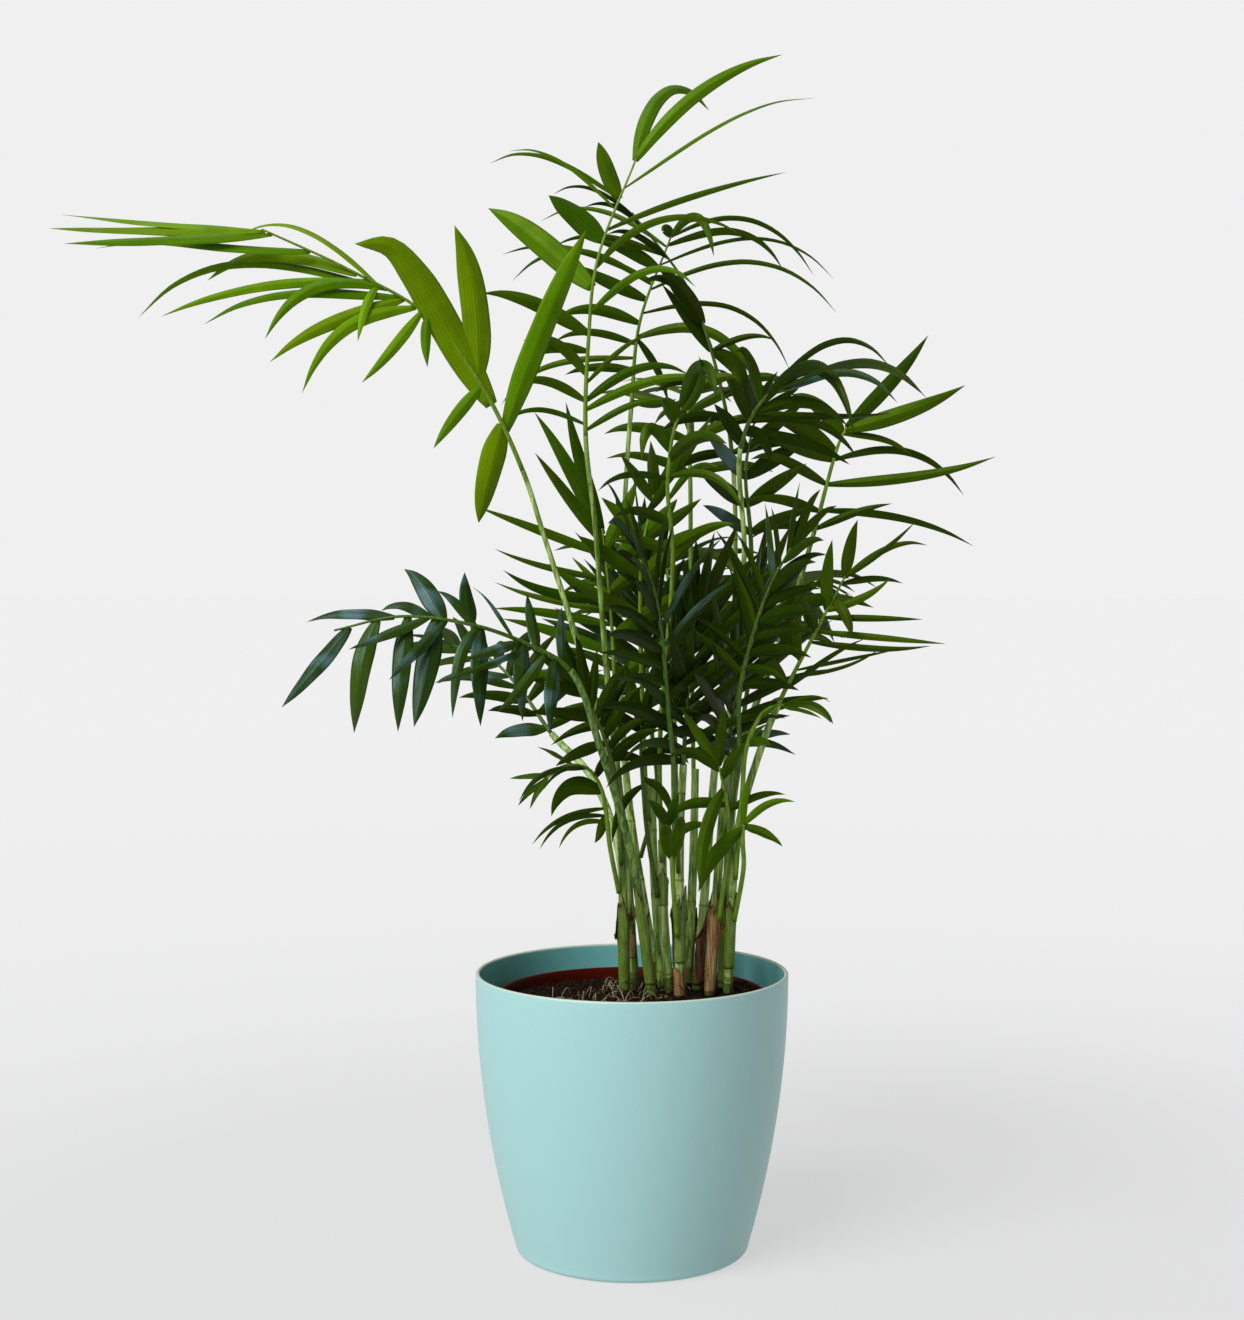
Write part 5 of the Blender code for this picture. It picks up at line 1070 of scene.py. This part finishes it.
def build_fronds(canes):
    """Each frond's leaflets in one mesh and its rib in another."""
    skins = leaf_skins()
    pale, dark = [stem_material(name, *STEM_SKINS[name]) for name in ("stalk_skin", "dark_stalk")]
    under = len(LEAF_TINTS)
    for name, frond in FRONDS.items():
        kind = FROND_CLASS.get(name, "deep")
        random = np.random.default_rng(LEAF_SEED + frond["seed"])
        stalk, rib = frond_curves(frond, canes)
        shapes = grown_leaflets(name, frond, rib)
        if name in THICKENED:
            shapes += between_leaflets(shapes, frond, rib, random)
        leaves = Heap()
        for plan, line, width, normal in shapes:
            tint = int(random.integers(len(LEAF_TINTS)))
            blunt = BLUNT if kind in ("young", "fresh") and width > BROAD else POINTED
            # A share of the deep leaflets takes the waxy skin on both faces, with its painted sheen standing
            # in for highlights
            waxy = kind == "deep" and random.uniform() < WAXY_SHARE
            if kind == "young":
                width *= YOUNG_WIDTH
            slots = (under + 1, under + 1) if waxy else (tint, under)
            fine_leaflet(leaves, line, width, normal, slots, random, blunt)
        materials = [skins[kind, k] for k in range(under)] + [skins[kind, "under"], skins["waxy", 0]]
        leaves.piece(name.replace("frond_", "leaflets_"), materials, [name], FROND_SLOTS[frond["colour"]])
        core = Heap()
        fine_tube(core, *fine_rib(frond, stalk), RIB_SIDES, 0)
        skin = dark if kind in ("deep", "waxy") else pale
        core.piece(name.replace("frond_", "rib_"), [skin], [name], "cane")


# Canes

def ring_places(length, random):
    """Lengths along a cane at which it carries rings."""
    places = []
    at = random.uniform(0.006, 0.014)
    while at < min(length, RINGS_END):
        places.append(at)
        at += random.uniform(0.030, 0.065)
    return places


def add_sheath(heap, line, low, high, wrap, facing, flare, slot, random):
    """A torn leaf sheath round a cane: open at the back, frayed and flared at its mouth."""
    waves = random.uniform(0, 2 * math.pi, 6)
    vertices = []
    for layer in (0, 1):
        for i in range(SHEATH_ROWS):
            rise = i / (SHEATH_ROWS - 1)
            for j in range(SHEATH_COLUMNS):
                across = 2 * j / (SHEATH_COLUMNS - 1) - 1
                fray = 0.10 * math.sin(5 * across + waves[0]) + 0.06 * math.sin(13 * across + waves[1])
                fray += 0.035 * math.sin(31 * across + waves[2]) - 0.22 * abs(across) ** 3
                height = low + (high - low) * rise * (1 + fray * rise ** 2 - 0.10)
                edge = 0.12 * math.sin(7 * rise + waves[3]) + 0.06 * math.sin(19 * rise + waves[4])
                half = 0.5 * math.radians(wrap) * (1 - 0.35 * rise ** 3 + edge * rise)
                turn = math.radians(facing - 90) + across * half
                lip = 0.0004 * math.sin(9 * turn + 5 * rise + waves[5]) * rise
                loose = 0.0004 + flare * rise ** 4 + 0.5 * flare * rise * abs(across) ** 4 + lip
                reach = cane_radius(height) + loose - SHEATH_THICKNESS * layer
                around = np.array((reach * math.cos(turn), reach * math.sin(turn), 0.0))
                vertices.append(at_height(line, height) + around)
    upper, lower, rim = sheet_faces(SHEATH_ROWS, SHEATH_COLUMNS)
    last = SHEATH_COLUMNS - 2
    used = [slot + 1 if i == SHEATH_ROWS - 2 or j in (0, last) else slot
            for i in range(SHEATH_ROWS - 1) for j in range(last + 1)]
    heap.add(vertices, upper + lower + rim, used + [slot + 1] * (len(lower) + len(rim)))


def build_canes():
    """Each cane with low ribs, rings, a dark foot and its old sheaths."""
    skins = [stem_material("cane_skin_%d" % k, *tones) for k, tones in enumerate(CANE_SKINS)]
    others = {name: stem_material(name, *tones) for name, tones in STEM_SKINS.items()
              if "stalk" not in name}
    for index, (name, curve) in enumerate(sorted(cane_curves(CANE_FINENESS).items())):
        random = np.random.default_rng(CANE_SEED + index)
        count = int(along(curve)[-1] / CANE_STEP)
        line = np.array([point_at(curve, k / count) for k in range(count + 1)])
        lengths = along(line)
        rings = ring_places(lengths[-1], random)
        foot = random.uniform(0.004, 0.014)
        radii = []
        slots = []
        for point, length in zip(line, lengths):
            base = cane_radius(point[2])
            near = min((abs(length - ring) for ring in rings), default=1.0)
            rise = RING_RISE * math.exp(-(near / RING_HEIGHT) ** 2) * min(1.0, base / RING_FULL_RADIUS)
            radii.append(base + rise)
            slots.append(2 if length < foot else 1 if near < RING_HEIGHT * 0.7 else 0)
        phases = random.uniform(0, 2 * math.pi, 2)

        def ribs(share, length):
            turn = 2 * math.pi * share
            slow = 0.018 * math.sin(5 * turn + phases[0] + 9 * length)
            return slow + 0.012 * math.sin(9 * turn + phases[1])

        heap = Heap()
        fine_tube(heap, line, radii, CANE_SIDES, slots, ribs)
        used = [skins[index % len(skins)], others["cane_ring"], others["cane_foot"]]
        for cane, *sizes, kind in SHEATHS:
            if cane == name:
                used += [others["sheath_" + kind], others["sheath_margin"]]
                add_sheath(heap, line, *sizes, len(used) - 2, random)
        heap.piece(name.replace("cane", "ringed_cane"), used, [name], "cane")


# Pots and soil

def build_cover_pot():
    """The cover pot, turned finely on its solid's own profile."""
    lip = POT_WALL / 2
    foot = pot_radius(POT_CORNER)
    profile = [(0.0, 0.0), (foot * 0.5, 0.0)]
    profile += arc((foot - POT_CORNER, POT_CORNER), POT_CORNER, -90, -4, 8)
    profile += [(pot_radius(height), height) for height in POT_LEVELS]
    start_lip = len(profile)
    profile += arc((POT_RIM_RADIUS - lip, POT_HEIGHT - lip), lip, 0, 180, 12)
    end_lip = len(profile)
    profile += [(pot_radius(height) - POT_WALL, height) for height in reversed(POT_LEVELS)]
    profile += [(foot - POT_WALL - 0.002, POT_FLOOR + 0.003), (foot - POT_WALL - 0.005, POT_FLOOR),
                (0.0, POT_FLOOR)]
    vertices, faces = lathe(profile, POT_SIDES)
    # Outside, lip and inside take their own skins; the lip's paler tone is a painted highlight along the rim
    column = [0 if ring < start_lip + 1 else 1 if ring + 1 < end_lip - 2 else 2
              for ring in range(len(profile) - 3)]
    heap = Heap()
    heap.add(vertices, faces, ([0] + column + [2]) * POT_SIDES)
    skins = [grain_material(name) for name in ("pot_outside", "pot_lip_highlight", "pot_inside")]
    heap.piece("cover_pot", skins, ["pot"], "pot")


def build_nursery_pot():
    """The nursery pot with its rolled rim."""
    foot = POT_FLOOR + GAP
    floor = foot + NURSERY_WALL
    rim = nursery_radius(NURSERY_TOP)
    profile = [(0.0, foot), (nursery_radius(foot), foot)]
    profile += [(nursery_radius(height), height) for height in NURSERY_LEVELS]
    profile += [(rim + out, height) for out, height in NURSERY_LIP]
    profile += arc((rim - 0.0007, NURSERY_TOP - NURSERY_LIP_RADIUS), NURSERY_LIP_RADIUS, 20, 165, 6)
    inner = NURSERY_INNER_LEVELS + (floor,)
    profile += [(nursery_radius(height) - NURSERY_WALL, height) for height in inner]
    profile += [(0.0, floor)]
    heap = Heap()
    heap.add(*lathe(profile, NURSERY_SIDES), 0)
    heap.piece("nursery_pot_fine", [grain_material("nursery_plastic")], ["nursery_pot"], "nursery_pot")


def soil_top(x, y):
    """Height of the lumpy soil."""
    rough = noise.fractal(Vector((x * 90, y * 90, 3.1)), 0.9, 2.0, 4)
    lumps = noise.noise(Vector((x * 45, y * 45, 8.0)))
    return soil_height(x, y) + 0.0016 * rough + 0.0018 * lumps - 0.001


def add_soil_body(heap, rim, floor, floor_radius):
    """The soil: a lumpy top on a plain plug."""
    vertices = []
    for ring in range(1, SOIL_RINGS + 1):
        level = circle(rim * ring / SOIL_RINGS, 0.0, SOIL_SIDES)
        vertices += [np.array((x, y, soil_top(x, y))) for x, y, _ in level]
    centre = len(vertices)
    vertices.append(np.array((0.0, 0.0, soil_top(0.0, 0.0))))
    low = len(vertices)
    vertices += circle(floor_radius, floor, SOIL_SIDES)
    faces = disc_faces(0, SOIL_RINGS, SOIL_SIDES, centre)
    edge = centre - SOIL_SIDES
    for k in range(SOIL_SIDES):
        after = (k + 1) % SOIL_SIDES
        faces.append((edge + k, low + k, low + after, edge + after))
    faces.append(tuple(range(low, low + SOIL_SIDES))[::-1])
    heap.add(vertices, faces, 0)


def add_crumbs(heap, rim, random):
    """Crumbs and chips: twenty-sided grains, stretched and dented."""
    golden = (1 + 5 ** 0.5) / 2
    corners = [unit(np.array(p)) for p in (
        (-1, golden, 0), (1, golden, 0), (-1, -golden, 0), (1, -golden, 0),
        (0, -1, golden), (0, 1, golden), (0, -1, -golden), (0, 1, -golden),
        (golden, 0, -1), (golden, 0, 1), (-golden, 0, -1), (-golden, 0, 1))]
    sphere = (
        (0, 11, 5), (0, 5, 1), (0, 1, 7), (0, 7, 10), (0, 10, 11), (1, 5, 9), (5, 11, 4), (11, 10, 2),
        (10, 7, 6), (7, 1, 8), (3, 9, 4), (3, 4, 2), (3, 2, 6), (3, 6, 8), (3, 8, 9), (4, 9, 5),
        (2, 4, 11), (6, 2, 10), (8, 6, 7), (9, 8, 1))
    for _ in range(CRUMBS):
        turn = random.uniform(0, 2 * math.pi)
        reach = (rim - CRUMB_MARGIN) * math.sqrt(random.uniform(0, 1))
        x = reach * math.cos(turn)
        y = reach * math.sin(turn)
        size = random.uniform(0.0006, 0.0022) * (0.6 + 0.4 * random.uniform())
        spot = np.array((x, y, soil_top(x, y) + 0.25 * size))
        stretch = random.uniform(0.5, 1.5, 3)
        stretch[2] *= 0.8
        shape = [spot + size * stretch * c * random.uniform(0.75, 1.25) for c in corners]
        heap.add(shape, sphere, int(random.uniform() < 0.4))


def add_fibres(heap, rim, random):
    """Loose root fibres, most of them in front of the canes' feet."""
    for _ in range(FIBRES):
        near = random.uniform() < 0.85
        turn = random.uniform(0, 2 * math.pi)
        if near:
            x = SOIL_CENTRE_X - 0.050 + random.normal(0, 0.022)
            y = SOIL_CENTRE_Y - 0.030 + random.normal(0, 0.018)
        else:
            reach = (rim - FIBRE_MARGIN) * math.sqrt(random.uniform(0, 1))
            x = reach * math.cos(turn)
            y = reach * math.sin(turn)
        if math.hypot(x, y) > rim - FIBRE_MARGIN:
            continue
        heading = random.uniform(0, 2 * math.pi)
        length = random.uniform(0.006, 0.020)
        arch = random.uniform(0.002, 0.011) if random.uniform() < 0.5 else random.uniform(0, 0.0015)
        bend = random.uniform(-3, 3)
        line = []
        for step in range(FIBRE_STEPS + 1):
            share = step / FIBRE_STEPS
            z = soil_top(x, y) + 0.0003 + arch * math.sin(math.pi * share)
            line.append(np.array((x, y, z)))
            x += length / FIBRE_STEPS * math.cos(heading + bend * share)
            y += length / FIBRE_STEPS * math.sin(heading + bend * share)
        if max(math.hypot(p[0], p[1]) for p in line) > rim - FIBRE_CLEAR:
            continue
        thick = random.uniform(0.00018, 0.00042)
        radii = [thick * (1 - 0.5 * step / FIBRE_STEPS) for step in range(FIBRE_STEPS + 1)]
        fine_tube(heap, np.array(line), radii, 5, 2 if near and random.uniform() < 0.45 else 1)


def build_soil():
    """Lumpy soil with crumbs, chips and pale root fibres."""
    random = np.random.default_rng(SOIL_SEED)
    floor = POT_FLOOR + GAP + NURSERY_WALL + GAP
    wall = NURSERY_WALL + 2 * GAP
    rim = nursery_radius(SOIL_EDGE) - wall
    heap = Heap()
    add_soil_body(heap, rim, floor, nursery_radius(floor) - wall)
    add_crumbs(heap, rim, random)
    add_fibres(heap, rim, random)
    skins = [grain_material(name) for name in ("soil_dark", "soil_crumb", "root_pale")]
    heap.piece("potting_soil", skins, ["soil"], "soil")


# The studio

def build_camera():
    """The camera of the photograph."""
    data = bpy.data.cameras.new("camera")
    data.sensor_width = 36.0
    data.lens = CAMERA_LENS
    data.clip_start = 0.05
    data.clip_end = 60.0
    camera = bpy.data.objects.new("camera", data)
    bpy.context.scene.collection.objects.link(camera)
    camera.location = CAMERA_PLACE
    camera.rotation_euler = (math.radians(90 - CAMERA_PITCH), 0.0, 0.0)
    bpy.context.scene.camera = camera


def build_floor():
    """A wide pale floor that fades into the backdrop."""
    vertices = [(0.0, 0.0, 0.0)]
    for ring in range(1, FLOOR_RINGS + 1):
        vertices += circle(FLOOR_START * FLOOR_GROWTH ** ring, 0.0, FLOOR_SIDES)
    faces = disc_faces(1, FLOOR_RINGS, FLOOR_SIDES, 0)
    skin = Skin("studio_floor", (FLOOR_TONE,) * 3, 0.9, 0.0)
    away = skin.node("ShaderNodeVectorMath", {0: skin.place}, "Value", operation="LENGTH")
    reach = FLOOR_GLOW[-1][0]
    ramp = skin.tree.nodes.new("ShaderNodeValToRGB")
    skin.set(ramp.inputs[0], skin.ranged(away, 0.0, reach, 0.0, 1.0))
    stops = ramp.color_ramp.elements
    while len(stops) < len(FLOOR_GLOW):
        stops.new(1.0)
    for stop, (distance, glow) in zip(stops, FLOOR_GLOW):
        stop.position = distance / reach
        stop.color = (glow, glow, glow, 1.0)
    skin.set(skin.inputs["Emission Color"], ramp.outputs[0])
    skin.set(skin.inputs["Emission Strength"], 1.0)
    floor = make_piece("studio_floor", vertices, faces, [skin.material])


def build_backdrop():
    """A pale backdrop for the camera, and a dimmer light from all round."""
    world = bpy.data.worlds.new("studio")
    bpy.context.scene.world = world
    world.use_nodes = True
    sky = world.node_tree
    backdrop = sky.nodes["Background"]
    ambient = sky.nodes.new("ShaderNodeBackground")
    for background, tone in ((backdrop, BACKDROP), (ambient, AMBIENT)):
        background.inputs[0].default_value = (tone, tone, tone, 1.0)
    path = sky.nodes.new("ShaderNodeLightPath")
    choice = sky.nodes.new("ShaderNodeMixShader")
    sky.links.new(path.outputs["Is Camera Ray"], choice.inputs[0])
    sky.links.new(ambient.outputs[0], choice.inputs[1])
    sky.links.new(backdrop.outputs[0], choice.inputs[2])
    sky.links.new(choice.outputs[0], sky.nodes["World Output"].inputs[0])


def add_light(name, kind, place, target, energy, **values):
    data = bpy.data.lights.new(name, kind)
    data.energy = energy
    for key, value in values.items():
        setattr(data, key, value)
    light = bpy.data.objects.new(name, data)
    bpy.context.scene.collection.objects.link(light)
    light.location = place
    light.rotation_mode = "QUATERNION"
    light.rotation_quaternion = (Vector(target) - Vector(place)).to_track_quat("-Z", "Y")


def build_studio():
    """Camera, floor, backdrop, a soft key light from the front left and a cool one from above."""
    bpy.context.scene.view_settings.view_transform = "Standard"
    bpy.context.scene.view_settings.look = "None"
    build_camera()
    build_floor()
    build_backdrop()
    add_light("key", "SUN", (-1.75, -1.9, 2.8), (0, 0, 0.4), KEY_STRENGTH, angle=math.radians(KEY_ANGLE))
    add_light("top", "AREA", (-0.5, 0.2, 2.2), (0, 0, 0.5), TOP_POWER, color=(0.85, 0.94, 1.0),
              shape="RECTANGLE", size=1.6, size_y=1.2)


build_cover_pot()
build_nursery_pot()
build_soil()
build_canes()
build_fronds(cane_curves(STEPS))
build_studio()
